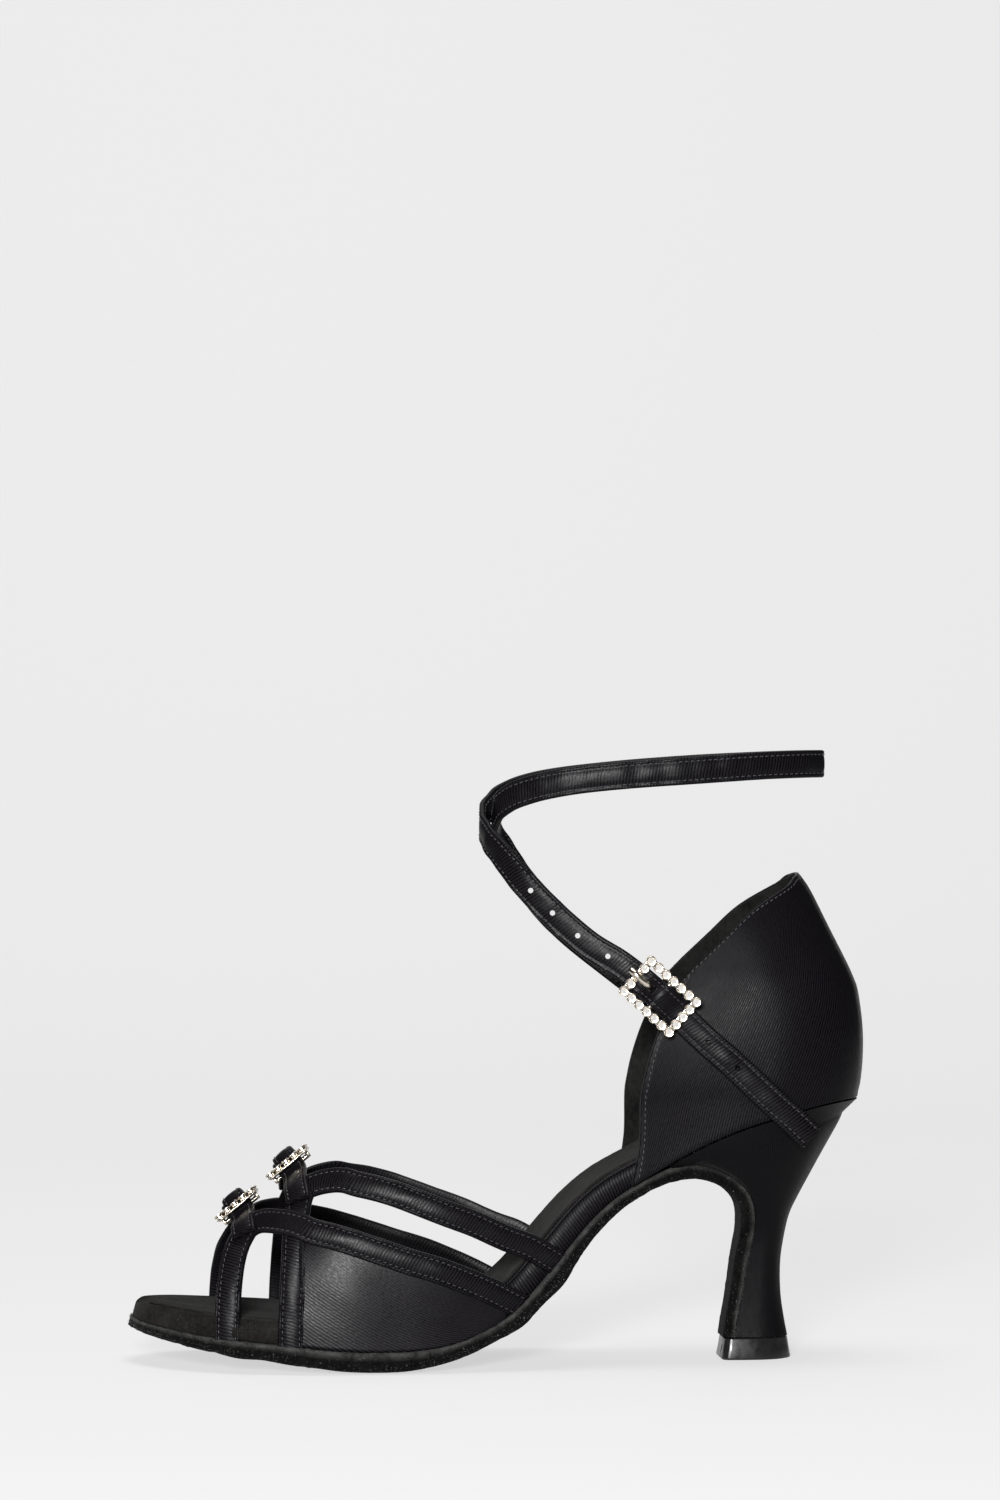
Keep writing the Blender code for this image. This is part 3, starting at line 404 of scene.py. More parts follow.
def loft(name, loops, angle, closed=True):
    # A grid laid over the loops. Its UV map runs along and around the piece in metres.
    rings, around = len(loops), len(loops[0])
    cells = around if closed else around - 1
    deselect()
    bpy.ops.mesh.primitive_grid_add(x_subdivisions=rings - 1, y_subdivisions=cells, size=2)
    piece = bpy.context.object
    piece.name = name
    mesh = piece.data
    mesh.name = name
    middle = around // 4
    along = [0.0]
    for i in range(1, rings):
        along.append(along[-1] + (loops[i][middle] - loops[i - 1][middle]).length)
    widest = max(loops, key=lambda loop: sum((loop[k] - loop[k - 1]).length for k in range(1, around)))
    girth = [0.0]
    for k in range(1, cells + 1):
        girth.append(girth[-1] + (widest[k % around] - widest[k - 1]).length)
    places = []
    for vertex in mesh.vertices:
        i = round((vertex.co.x + 1) / 2 * (rings - 1))
        k = round((vertex.co.y + 1) / 2 * cells)
        places.append((i, k))
        vertex.co = loops[i][k % around]
    layer = mesh.uv_layers.active.data
    for corner in mesh.loops:
        i, k = places[corner.vertex_index]
        layer[corner.index].uv = (along[i], girth[k])
    editMode(piece, *((mergeDoubles, fillEnds) if closed else ()), faceOut)
    return smoothed(piece, angle)


def joined(name, pieces):
    deselect()
    for piece in pieces:
        piece.select_set(True)
    bpy.context.view_layer.objects.active = pieces[0]
    if len(pieces) > 1:
        bpy.ops.object.join()
    made = bpy.context.object
    made.name = name
    made.data.name = name
    return made


def settle(piece):
    # The piece's place goes into its mesh.
    activate(piece)
    bpy.ops.object.transform_apply(location=True, rotation=True, scale=True)
    return piece


def addShape(add, **settings):
    deselect()
    add(**settings)
    return settle(bpy.context.object)


def linked(name, data):
    thing = bpy.data.objects.new(name, data)
    bpy.context.scene.collection.objects.link(thing)
    return thing


def finishPiece(piece, look, slot, *nodes):
    piece.data.materials.clear()
    piece.data.materials.append(look)
    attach(piece, "root")
    if nodes:
        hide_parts(*nodes)
    print("made", piece.name, len(piece.data.polygons), "faces")
    return piece


def scattered(name, template, places):
    # One mesh with a copy of the template at each place, which is a matrix. The template is used up.
    points = []
    faces = []
    for place in places:
        first = len(points)
        points += [place @ vertex.co for vertex in template.data.vertices]
        faces += [tuple(first + i for i in polygon.vertices) for polygon in template.data.polygons]
    removePiece(template)
    mesh = bpy.data.meshes.new(name)
    mesh.from_pydata([tuple(point) for point in points], [], faces)
    mesh.update()
    return smoothed(linked(name, mesh), 40)


def facing(point, forward, up):
    # A place at point whose X runs forward and whose Z is up.
    x = forward.normalized()
    z = (up - x * up.dot(x)).normalized()
    y = z.cross(x)
    return Matrix.Translation(point) @ Matrix((x, y, z)).transposed().to_4x4()


# Node helpers.
def addNode(tree, kind, links=None, **settings):
    made = tree.nodes.new(kind)
    for key, value in settings.items():
        setattr(made, key, value)
    for key, value in (links or {}).items():
        if isinstance(value, bpy.types.NodeSocket):
            tree.links.new(value, made.inputs[key])
        else:
            made.inputs[key].default_value = value
    return made


def newGroup(name, inputs, outputs):
    # A node group fed by a vector and by named numbers.
    tree = bpy.data.node_groups.new(name, "ShaderNodeTree")
    tree.interface.new_socket(name="Vector", in_out="INPUT", socket_type="NodeSocketVector")
    for label, value in inputs.items():
        socket = tree.interface.new_socket(name=label, in_out="INPUT", socket_type="NodeSocketFloat")
        socket.default_value = value
    for label in outputs:
        tree.interface.new_socket(name=label, in_out="OUTPUT", socket_type="NodeSocketFloat")
    return tree, tree.nodes.new("NodeGroupInput").outputs, tree.nodes.new("NodeGroupOutput").inputs


def mathNode(tree, operation, a, b):
    return addNode(tree, "ShaderNodeMath", {0: a, 1: b}, operation=operation).outputs[0]


def weighted(tree, *parts):
    # Adds up sockets, each times its share.
    scaled = [mathNode(tree, "MULTIPLY", socket, share) for socket, share in parts]
    total = scaled[0]
    for part in scaled[1:]:
        total = mathNode(tree, "ADD", total, part)
    return total


def rangeNode(tree, value, low, high, toLow=0.0, toHigh=1.0):
    links = {"Value": value, "From Min": low, "From Max": high, "To Min": toLow, "To Max": toHigh}
    return addNode(tree, "ShaderNodeMapRange", links).outputs[0]


def noiseNode(tree, vector, scale, detail, roughness=0.55):
    links = {"Vector": vector, "Scale": scale, "Detail": detail, "Roughness": roughness}
    return addNode(tree, "ShaderNodeTexNoise", links).outputs["Fac"]


def spotNode(tree, kind):
    return addNode(tree, "ShaderNodeTexCoord").outputs[kind]


def stretchNode(tree, vector, scale=(1, 1, 1), turn=0.0):
    links = {"Vector": vector, "Scale": scale, "Rotation": (0, 0, math.radians(turn))}
    return addNode(tree, "ShaderNodeMapping", links).outputs[0]


def bumpNode(tree, height, distance, strength):
    links = {"Height": height, "Distance": distance * mm, "Strength": strength}
    return addNode(tree, "ShaderNodeBump", links).outputs[0]


def groupNode(tree, group, vector, **values):
    return addNode(tree, "ShaderNodeGroup", {"Vector": vector, **values}, node_tree=groups[group]).outputs


def feed(tree, inputs, **sockets):
    # Links sockets to inputs by name. An underscore stands for a space.
    for name, socket in sockets.items():
        tree.links.new(socket, inputs[name.replace("_", " ")])


weaveSize = {
    "ribTurn": 28,
    "slubScale": 330.0,
    "floatScale": 1000.0,
    "cloudScale": 55.0,
    "depth": 0.19,
    "raised": 0.42,
}
napSize = {"coarse": 0.28, "raised": 0.8}


def satinWeave():
    # Satin threads on a vector in metres: slanting ribs, long slubs, glinting floats and a soft cloudiness.
    tree, source, out = newGroup("satinWeave", {"Threads": 320.0, "Slub": 0.5}, ("Height", "Shade", "Gloss"))
    turned = stretchNode(tree, source["Vector"], turn=weaveSize["ribTurn"])
    uneven = {"Distortion": 1.0, "Detail": 2.0, "Detail Scale": 0.5}
    links = {"Vector": turned, "Scale": source["Threads"], **uneven}
    ribs = addNode(tree, "ShaderNodeTexWave", links, wave_type="BANDS", bands_direction="Y").outputs["Fac"]
    slub = noiseNode(tree, stretchNode(tree, turned, (1, 3.5, 1)), weaveSize["slubScale"], 4.0, 0.7)
    floats = noiseNode(tree, stretchNode(tree, turned, (1, 2.2, 1)), weaveSize["floatScale"], 2.0, 0.6)
    cloud = noiseNode(tree, source["Vector"], weaveSize["cloudScale"], 3.0)
    height = weighted(tree, (ribs, 0.24), (floats, 0.55), (slub, source["Slub"]))
    threads = weighted(tree, (slub, 0.45), (floats, 0.55))
    shade = rangeNode(tree, weighted(tree, (threads, 0.65), (ribs, 0.35)), 0.38, 0.62)
    feed(tree, out, Height=height, Shade=shade, Gloss=weighted(tree, (floats, 0.6), (cloud, 0.4)))
    return tree


def suedeNap():
    # A brushed nap: short fibres, rubbed patches and pale specks.
    tree, source, out = newGroup("suedeNap", {"Fibre": 2600.0, "Patch": 90.0}, ("Height", "Shade", "Speck"))
    fibre = noiseNode(tree, source["Vector"], source["Fibre"], 4.0, 0.7)
    coarseScale = mathNode(tree, "MULTIPLY", source["Fibre"], napSize["coarse"])
    coarse = noiseNode(tree, source["Vector"], coarseScale, 4.0, 0.7)
    patch = noiseNode(tree, source["Vector"], source["Patch"], 3.0, 0.6)
    height = weighted(tree, (fibre, 0.5), (coarse, 0.8))
    shade = weighted(tree, (patch, 0.55), (coarse, 0.45))
    feed(tree, out, Height=height, Shade=shade, Speck=rangeNode(tree, fibre, 0.62, 0.78))
    return tree


groups = {"satin": satinWeave(), "suede": suedeNap()}


def newLook(name, **fixed):
    look = bpy.data.materials.new(name)
    look.use_nodes = True
    shader = look.node_tree.nodes["Principled BSDF"]
    for key, value in fixed.items():
        shader.inputs[key.replace("_", " ")].default_value = value
    return look, look.node_tree, shader


def mixColour(tree, factor, low, high):
    links = {0: factor, 6: (*low, 1) if isinstance(low, tuple) else low, 7: (*high, 1)}
    return addNode(tree, "ShaderNodeMix", links, data_type="RGBA").outputs[2]


def satinLook(name, dark, light, slub=0.45, threads=345.0, roughness=(0.27, 0.45), turn=0, gloss=0.07):
    look, tree, shader = newLook(name, Specular_IOR_Level=gloss)
    place = stretchNode(tree, spotNode(tree, "UV"), turn=turn)
    weave = groupNode(tree, "satin", place, Threads=threads, Slub=slub)
    colour = mixColour(tree, weave["Shade"], dark, light)
    rough = rangeNode(tree, weave["Gloss"], 0.36, 0.64, *roughness)
    raised = bumpNode(tree, weave["Height"], weaveSize["depth"], weaveSize["raised"])
    feed(tree, shader.inputs, Base_Color=colour, Roughness=rough, Normal=raised)
    return look


def suedeLook(name, dark, light, speck, fibre=2600.0, patch=90.0, depth=0.25, lipHighlight=None):
    fixed = {"Specular_IOR_Level": 0.02, "Sheen_Weight": 0.015, "Sheen_Roughness": 0.5, "Roughness": 1.0}
    look, tree, shader = newLook(name, **fixed)
    nap = groupNode(tree, "suede", spotNode(tree, "Object"), Fibre=fibre, Patch=patch)
    base = mixColour(tree, rangeNode(tree, nap["Shade"], 0.35, 0.65), dark, light)
    if lipHighlight:
        # The top band of the cut edge is painted paler: a painted highlight along the raised lip, broken up
        # by the nap.
        lipHighlightMask = addNode(tree, "ShaderNodeAttribute", attribute_name="lipHighlight").outputs["Fac"]
        lipHighlightShare = mathNode(tree, "MULTIPLY", lipHighlightMask, rangeNode(tree, nap["Shade"], 0.38, 0.62, 0.25, 1.0))
        base = mixColour(tree, lipHighlightShare, base, lipHighlight)
    raised = bumpNode(tree, nap["Height"], depth, napSize["raised"])
    feed(tree, shader.inputs, Base_Color=mixColour(tree, nap["Speck"], base, speck), Normal=raised)
    return look


def plainLook(name, colour, grain, strength, **fixed):
    # A moulded or metal surface with a fine uneven gloss.
    look, tree, shader = newLook(name, **fixed)
    fine = noiseNode(tree, spotNode(tree, "Object"), grain, 3.0)
    low, high = (tuple(min(1.0, share * c) for c in colour) for share in (0.8, 1.15))
    rough = fixed["Roughness"]
    uneven = rangeNode(tree, fine, 0.3, 0.7, 0.75 * rough, 1.3 * rough)
    raised = bumpNode(tree, fine, 0.05, strength)
    feed(tree, shader.inputs, Base_Color=mixColour(tree, fine, low, high), Roughness=uneven, Normal=raised)
    return look


# Colours from dark to light, and for suede that of its specks.
satinDark = (0.0006, 0.0005, 0.0008)
heelTones = ((0.0010, 0.0009, 0.0012), (0.0038, 0.0034, 0.0040))
sockTones = ((0.0026, 0.0025, 0.0023), (0.0120, 0.0113, 0.0103), (0.12, 0.108, 0.094))
soleTones = ((0.0010, 0.0010, 0.0010), (0.0040, 0.0040, 0.0039), (0.12, 0.118, 0.115))
liningTones = ((0.0030, 0.0030, 0.0029), (0.011, 0.0106, 0.0103), (0.04, 0.038, 0.036))
heelCloth = {"threads": 420.0, "roughness": (0.34, 0.48), "gloss": 0.045}
# The sole's lip colour is the painted highlight along the top of the cut edge.
soleNap = {"fibre": 1500.0, "patch": 260.0, "depth": 0.6, "lipHighlight": (0.036, 0.0355, 0.0345)}
plasticGloss = {"Roughness": 0.3, "Specular_IOR_Level": 0.25, "Coat_Weight": 0.12, "Coat_Roughness": 0.12}
stoneGloss = {"Roughness": 0.08, "Metallic": 0.6, "Coat_Weight": 1.0, "Coat_Roughness": 0.02}


looks = {
    "satin": satinLook("blackSatin", satinDark, (0.0058, 0.0051, 0.0062), turn=78, gloss=0.044),
    # The side panels take a lighter, glossier copy of the same black satin: a painted sheen that makes them
    # look more lit.
    "litPanelSatin": satinLook("litPanelSatin", satinDark, (0.0072, 0.0063, 0.0076), gloss=0.10),
    "strapSatin": satinLook("strapSatin", satinDark, (0.0066, 0.0058, 0.0070), slub=0.5, turn=48),
    "heelSatin": satinLook("heelSatin", *heelTones, **heelCloth),
    "sockSuede": suedeLook("sockSuede", *sockTones),
    "soleSuede": suedeLook("soleSuede", *soleTones, **soleNap),
    "lining": suedeLook("liningSuede", *liningTones, depth=0.2),
    "thread": plainLook("thread", (0.027, 0.0255, 0.0285), 3000.0, 0.5, Roughness=0.5),
    "fuzz": plainLook("leatherFuzz", (0.055, 0.054, 0.052), 3000.0, 0.1, Roughness=0.8),
    "plastic": plainLook("liftPlastic", (0.006, 0.006, 0.0065), 500.0, 0.15, **plasticGloss),
    "metal": plainLook("buckleMetal", (0.70, 0.635, 0.545), 900.0, 0.2, Roughness=0.2, Metallic=1.0),
    "stone": plainLook("rhinestone", (0.80, 0.78, 0.75), 900.0, 0.05, **stoneGloss),
}
print("materials ready:", len(looks))


# Outsole: suede leather from the toe to the foot of the breast, with a rough cut edge.
outsoleSize = {
    "edgeRound": 0.9,
    "crown": 0.14,
    "crownFrom": 4.0,
    "crownOver": 2.2,
    "tuckSwell": 1.7,
    "tuckReach": 4.5,
    "tuckEnd": 0.68,
    "roughness": 0.55,
    "waviness": 0.5,
    "edgeBand": 2.2,
    "fuzz": 9000,
    "fuzzLength": 0.7,
}
# The cut edge: how far in, in edge rounds, and how deep, in thicknesses.
edgeRows = (
    (0.9, 0.0),
    (0.2, 0.02),
    (-0.15, 0.10),
    (-0.12, 0.20),
    (0.25, 0.30),
    (0.42, 0.42),
    (0.30, 0.56),
    (0.25, 0.70),
    (0.6, 0.86),
    (1.3, 0.97),
    (2.6, 1.0),
)
# The crossed straps: place of the length, rise of the instep and lift in strap thicknesses.
frontLegA = (
    (0.1355, -0.12, 0.0),
    (0.1357, 0.12, 0.0),
    (0.1366, 0.34, 0.0),
    (0.1398, 0.56, 0.0),
    (0.1450, 0.72, 0.0),
    (0.1530, 0.82, 0.0),
    (0.1660, 0.89, 0.0),
)
rearLegA = (
    (0.1600, 0.87, 0.0),
    (0.1700, 0.875, 0.1),
    (0.1850, 0.850, 0.5),
    (0.2040, 0.790, 0.9),
    (0.2300, 0.705, 1.0),
    (0.2560, 0.610, 0.8),
    (0.3120, 0.468, 0.5),
    (0.3640, 0.360, 0.5),
    (0.4179, 0.269, 0.5),
    (0.4701, 0.160, 0.4),
    (0.5078, 0.060, 0.2),
    (0.5360, -0.040, 0.1),
)
frontLegB = (
    (0.2184, -0.10, 0.0),
    (0.2190, 0.10, 0.0),
    (0.2206, 0.30, 0.0),
    (0.2236, 0.52, 0.0),
    (0.2272, 0.72, 0.0),
    (0.2330, 0.83, 0.0),
    (0.2420, 0.89, 0.0),
)
rearLegB = (
    (0.2350, 0.880, 0.1),
    (0.2480, 0.872, 0.1),
    (0.2660, 0.845, 0.0),
    (0.2900, 0.795, 0.0),
    (0.3144, 0.725, 0.0),
    (0.3700, 0.590, 0.0),
    (0.4202, 0.477, 0.0),
    (0.4729, 0.359, 0.0),
    (0.5318, 0.200, 0.0),
    (0.5671, 0.050, 0.0),
    (0.5860, -0.050, 0.0),
)


def tuckSwell(x):
    # The leather stands out where a strap's end is glued under it.
    tucks = (
        (0.150, 0.6),
        (frontLegB[1][0], 0.35),
        (rearLegA[-2][0] + 0.012, 1.0),
        (rearLegB[-2][0], 1.4),
    )
    reach = outsoleSize["tuckReach"] * mm
    return outsoleSize["tuckSwell"] * mm * sum(high * bump(x, alongX(tuck), reach) for tuck, high in tucks)


def breastPath(steps):
    rows = refined(breastColumns, breastRows, steps)
    scales = {"frontX": "length", "backX": "length", "leather": "ballWidth", "heel": "ballWidth"}
    for row in rows:
        for name, scale in scales.items():
            row[name] *= last[scale]
        for name in ("frontZ", "backZ"):
            row[name] = max(row[name] * last["seatHeight"], topLiftSize["height"] * mm + last["gap"])
        row["thick"] *= mm
    return rows


def solePath(steps):
    path = []
    for row in refined(soleColumns, soleRows, steps):
        x = alongX(row["along"])
        halves = {side: row[side] * last["ballWidth"] + tuckSwell(x) for side in ("outer", "inner")}
        path.append({"x": x, "z": row["top"] * last["seatHeight"], "thick": row["thick"] * mm, **halves})
    for row in breastPath(steps):
        halves = {"outer": row["leather"], "inner": row["leather"]}
        path.append({"x": row["frontX"], "z": row["frontZ"], "thick": row["thick"], **halves})
    for i, row in enumerate(path):
        row["up"] = upFrom(path, i) if i < len(path) - 1 else Vector((1, 0, 0))
        row["top"] = Vector((row["x"], 0, row["z"]))
        row["swell"] = tuckSwell(row["x"]) if row["x"] < alongX(outsoleSize["tuckEnd"]) else 0.0
    return path


def nearestRow(path, point):
    return min(path, key=lambda row: (row["top"] - Vector((point.x, 0, point.z))).length_squared)


def soleSection(row):
    # Across and depth of the points round one section, from the inner edge's top.
    rounding = outsoleSize["edgeRound"] * mm
    # Under the ball the leather's edge lifts off the floor.
    lifted = clamp((row["thick"] / mm - outsoleSize["crownFrom"]) / outsoleSize["crownOver"])
    crown = outsoleSize["crown"] * lifted
    middle = (row["inner"] - row["outer"]) / 2
    section = []
    for name, side, shape in (("inner", 1, edgeRows), ("outer", -1, edgeRows[::-1])):
        half = row[name]
        for inset, depth in shape:
            y = side * max(0.15 * mm, half - inset * rounding) if half > 0 else side * half
            section.append((y, depth * (1 - crown * min(1.0, depth * 1.4))))
        for share in (0.6, 0.2, -0.2, -0.6):
            sunk = 1 - 0.25 * crown * (abs(share) > 0.5) if side > 0 else 0.0
            section.append((middle + side * share * (row["inner"] + row["outer"]) / 2, sunk))
    return section


def makeOutsole():
    rows = solePath(7)
    loops = []
    for row in rows:
        points = []
        for y, depth in soleSection(row):
            point = row["top"] - row["up"] * depth * (row["thick"] + 0.5 * row["swell"]) + Vector((0, y, 0))
            point.z = max(point.z, 0.0)
            points.append(point)
        loops.append(points)
    piece = loft("outsole", loops, 60)
    # Marks the top band of the cut edge, which gets a painted highlight.
    lipHighlight = piece.data.attributes.new("lipHighlight", "FLOAT", "POINT")
    for vertex in piece.data.vertices:
        near = nearestRow(rows, vertex.co)
        depth = (near["top"] - vertex.co).dot(near["up"]) / near["thick"]
        lipHighlight.data[vertex.index].value = clamp(1.25 - depth / 0.3)
    editMode(piece, lambda: bpy.ops.mesh.subdivide(number_cuts=1))
    # Only the cut edge is rough: the floor side stays flat and the top stays on the insole.
    edge = piece.vertex_groups.new(name="edge")
    path = solePath(1)
    for vertex in piece.data.vertices:
        near = nearestRow(path, vertex.co)
        half = near["inner"] if vertex.co.y > 0 else near["outer"]
        side = clamp((abs(vertex.co.y) - half + outsoleSize["edgeBand"] * mm) / (1.6 * mm))
        if vertex.co.x < alongX(0.03):
            side = 1.0
        low = min(1.0, vertex.co.z / (0.6 * mm))
        edge.add([vertex.index], side * low, "REPLACE")
    displace(piece, clouds("edgeWaves", 9), outsoleSize["waviness"], 0.55, vertex_group="edge")
    displace(piece, clouds("cutEdge", 1.6, 3), outsoleSize["roughness"], vertex_group="edge")
    return finishPiece(piece, looks["soleSuede"], "sole_suede", "outsole")


def makeFuzz():
    # Loose fibres that stand off the sole's cut edge.
    rng = random.Random(7)
    cone = {"vertices": 3, "radius1": 0.06 * mm, "depth": 1 * mm, "location": (0, 0, 0.5 * mm)}
    hair = addShape(bpy.ops.mesh.primitive_cone_add, **cone)
    editMode(hair, lambda: bpy.ops.mesh.subdivide(number_cuts=1), faceOut)
    path = solePath(12)
    depths = ((0.02, 0.3), (0.0, 0.15), (0.0, 0.15), (0.5, 0.95))
    places = []
    for _ in range(outsoleSize["fuzz"]):
        row = path[rng.randrange(1, len(path) - 1)]
        side = rng.choice((-1, 1))
        half = row["inner"] if side > 0 else row["outer"]
        depth = rng.choice([rng.uniform(*span) for span in depths])
        point = row["top"] - row["up"] * depth * row["thick"] + Vector((0, side * (half - 0.25 * mm), 0))
        if point.z < 0.5 * mm or (depth > 0.3 and row["x"] > alongX(0.70)):
            continue
        out = (Vector((rng.gauss(0, 1.0), 0.6 * side, rng.gauss(0, 0.7))) + row["up"] * 0.5).normalized()
        long = outsoleSize["fuzzLength"] * rng.uniform(0.4, 1.2)
        places.append(facing(point, out.orthogonal(), out) @ Matrix.Scale(long, 4))
    return finishPiece(scattered("soleFuzz", hair, places), looks["fuzz"], "sole_suede")


# Insole: its cover is suede round the toes and satin along the arch, with a piped edge.
insoleSize = {
    "inset": 2.7,
    "tipInset": 0.5,
    "tipRound": 3.6,
    "tipReach": 26,
    "shoulder": 0.8,
    "dish": 1.2,
    "satinFrom": 0.40,
    "pipe": 0.42,
}
sockSize = {"thick": 1.1, "inset": 0.55, "toeInset": 2.6, "lumps": 0.35, "nap": 0.22, "columns": 22}


def toeShare(x):
    # 1 at the toes, where the cover is wrapped over the platform, and 0 along the arch.
    return clamp((alongX(insoleSize["satinFrom"]) - x) / (12 * mm))


def insolePairs(extra, steps):
    # The insole's outline, moved in by extra. Round the toes it comes out to the sole's own edge.
    usual = outlinePairs((insoleSize["inset"] + extra) * mm, steps)
    out = outlinePairs((insoleSize["tipInset"] + extra) * mm, steps)
    found = []
    for pair, other in zip(usual, out):
        share = clamp((alongX(0.20) - pair[0].x) / (insoleSize["tipReach"] * mm))
        found.append(tuple(a.lerp(b, share) for a, b in zip(pair, other)))
    return found


def padAt(x):
    # The cover's upper corner is rounded off at the tip.
    share = clamp((x - alongX(0.008)) / (insoleSize["tipRound"] * mm))
    return ground(x, "pad") * (0.5 + 0.5 * math.sqrt(1 - (1 - share) ** 2))


def dishAt(width):
    return insoleSize["dish"] * mm * min(1.0, width / (0.5 * last["ballWidth"]))


def insoleProfile(pair, pad):
    width = (pair[1] - pair[0]).length
    toe = toeShare(pair[0].x)
    shoulder = min(0.3, insoleSize["shoulder"] * (1 + 1.6 * toe) * mm / width)
    dish = dishAt(width)
    bulge = min(0.2, (0.35 + 0.45 * toe) * mm / width)
    raised = 0.62 * toe * sockSize["thick"] * mm
    left = (
        (0.0, last["gap"]),
        (-0.7 * bulge, 0.12 * pad),
        (-bulge, 0.30 * pad),
        (-bulge, 0.52 * pad),
        (-0.6 * bulge, 0.72 * pad + 0.3 * raised),
        (0.15 * shoulder, 0.88 * pad + 0.7 * raised),
        (0.55 * shoulder, 0.96 * pad + raised),
        (shoulder, pad + raised),
        (1.5 * shoulder, pad + 0.3 * raised - 0.1 * dish),
        (0.2 + 0.6 * shoulder, pad - 0.6 * dish),
    )
    right = tuple((1 - share, height) for share, height in reversed(left))
    return left + ((0.5, pad - dish),) + right


def makeInsole():
    pairs = insolePairs(0.0, 5)
    split = next(i for i, pair in enumerate(pairs) if pair[0].x > alongX(insoleSize["satinFrom"]))
    halves = (
        ("insoleToe", pairs[: split + 1], "sockSuede", "sock_suede"),
        ("insoleArch", pairs[split:], "satin", "satin"),
    )
    for name, chosen, look, slot in halves:
        profiles = [(pair, insoleProfile(pair, padAt(pair[0].x))) for pair in chosen]
        loops = [[across(pair, *spot) for spot in profile] for pair, profile in profiles]
        finishPiece(loft(name, loops, 50), looks[look], slot, "insole")


def sockOutline():
    inset = insoleSize["shoulder"] + sockSize["inset"]
    both = zip(insolePairs(inset, 6), insolePairs(inset + sockSize["toeInset"], 6))
    return [tuple(a.lerp(b, toeShare(a.x)) for a, b in zip(*pairs)) for pairs in both]


def makeSock():
    shares = [i / sockSize["columns"] for i in range(sockSize["columns"] + 1)]
    loops = []
    for pair in sockOutline():
        width = (pair[1] - pair[0]).length
        x = (pair[0].x + pair[1].x) / 2
        low = padAt(pair[0].x) + last["gap"]
        dish = dishAt(width)
        # The toes' pads and the ball press the sock down, and it stands up between them.
        toe = bump(x, alongX(0.10), 16 * mm) + 0.8 * bump(x, alongX(0.31), 22 * mm)
        loop = []
        for share in shares:
            sag = 0.12 + 0.88 * (1 - (2 * share - 1) ** 2) ** 0.8
            edge = min(1.0, min(share, 1 - share) * width / (1.1 * mm))
            thick = sockSize["thick"] * mm * (0.25 + 0.75 * edge**0.5)
            lump = math.sin(share * 17 + x / (9 * mm)) * math.sin(math.pi * share)
            loop.append(across(pair, share, low + thick - sag * dish + sockSize["lumps"] * mm * toe * lump))
        for share, sag in ((1.0, 0.12), (0.8, 0.6), (0.5, 1.0), (0.2, 0.6), (0.0, 0.12)):
            loop.append(across(pair, share, low - sag * dish))
        loops.append(loop)
    piece = loft("sock", loops, 55)
    applyModifier(piece, "SUBSURF", levels=1, render_levels=1)
    displace(piece, clouds("sockNap", 2.2, 3), sockSize["nap"])
    finishPiece(piece, looks["sockSuede"], "sock_suede", "sock")
    return piece


def ring(centre, u, v, radius, count):
    turns = [2 * math.pi * k / count for k in range(count)]
    return [centre + (u * math.cos(turn) + v * math.sin(turn)) * radius for turn in turns]


def tube(name, path, radius, taper, sides=8):
    # A round cord through the path's points.
    loops = []
    for i, point in enumerate(path):
        before, after = beside(path, i)
        run = (after - before).normalized()
        side = run.cross(Vector((0.13, 0.21, 0.97))).normalized()
        thin = min(1.0, (min(i, len(path) - 1 - i) + 0.35) / (taper + 0.35))
        loops.append(ring(point, side, side.cross(run), radius * thin, sides))
    return loft(name, loops, 80)


def makePiping():
    # A thin bead along the arch where the sock meets the insole's satin cover.
    start = alongX(insoleSize["satinFrom"] - 0.03)
    inset = (insoleSize["inset"] + 0.3 * insoleSize["shoulder"]) * mm
    pairs = [pair for pair in outlinePairs(inset, 6) if pair[0].x > start]
    lift = insoleSize["pipe"] * 0.2 * mm
    bead = [across(pair, 0, padAt(pair[0].x) * 0.97 + lift) for pair in pairs]
    bead += [across(pair, 1, ground(pair[1].x, "pad") * 0.97 + lift) for pair in reversed(pairs)]
    piece = tube("sockPiping", bead, insoleSize["pipe"] * mm, 8)
    return finishPiece(piece, looks["strapSatin"], "satin")


# Heel and its tip.
# The heel's plan: share of the way back, and half width.
heelLevels = (
    (0.00, 0.86),
    (0.02, 0.91),
    (0.06, 0.94),
    (0.16, 0.97),
    (0.32, 1.00),
    (0.50, 0.97),
    (0.68, 0.86),
    (0.83, 0.68),
    (0.94, 0.42),
    (0.985, 0.22),
    (1.00, 0.0),
)
liftLevels = (
    (0.00, 0.74),
    (0.02, 0.88),
    (0.06, 0.96),
    (0.12, 1.00),
    (0.45, 1.00),
    (0.66, 0.90),
    (0.82, 0.70),
    (0.93, 0.42),
    (0.98, 0.22),
    (1.00, 0.0),
)
levelColumns = ("share", "wide")
heelSize = {"lipStart": -0.124, "behindLeather": 0.2}
topLiftSize = {
    "height": 6.2,
    "flare": 0.9,
    "slot": (2.2, 1.5, 2.6),
    "slotAt": (-0.9, -2.6, 2.9),
    "slotTurn": 12,
}
# Height in mm, and shares of the flare and of the whole outline.
liftRings = (
    (0.0, 0.85, 0.93),
    (0.0, 0.85, 0.99),
    (0.25, 0.97, 1.0),
    (0.6, 1.0, 1.0),
    (3.0, 0.5, 1.0),
    (5.5, 0.06, 1.0),
    (5.95, 0.0, 1.0),
    (6.2, -0.2, 0.985),
    (6.2, -0.2, 0.9),
)


def heelRing(front, back, half, levels):
    rows = refined(levelColumns, levels, 3)
    both = ((rows, -1), (rows[-2::-1], 1))
    return [
        front.lerp(back, row["share"]) + Vector((0, side * half * max(0.0, row["wide"]), 0))
        for chosen, side in both
        for row in chosen
    ]


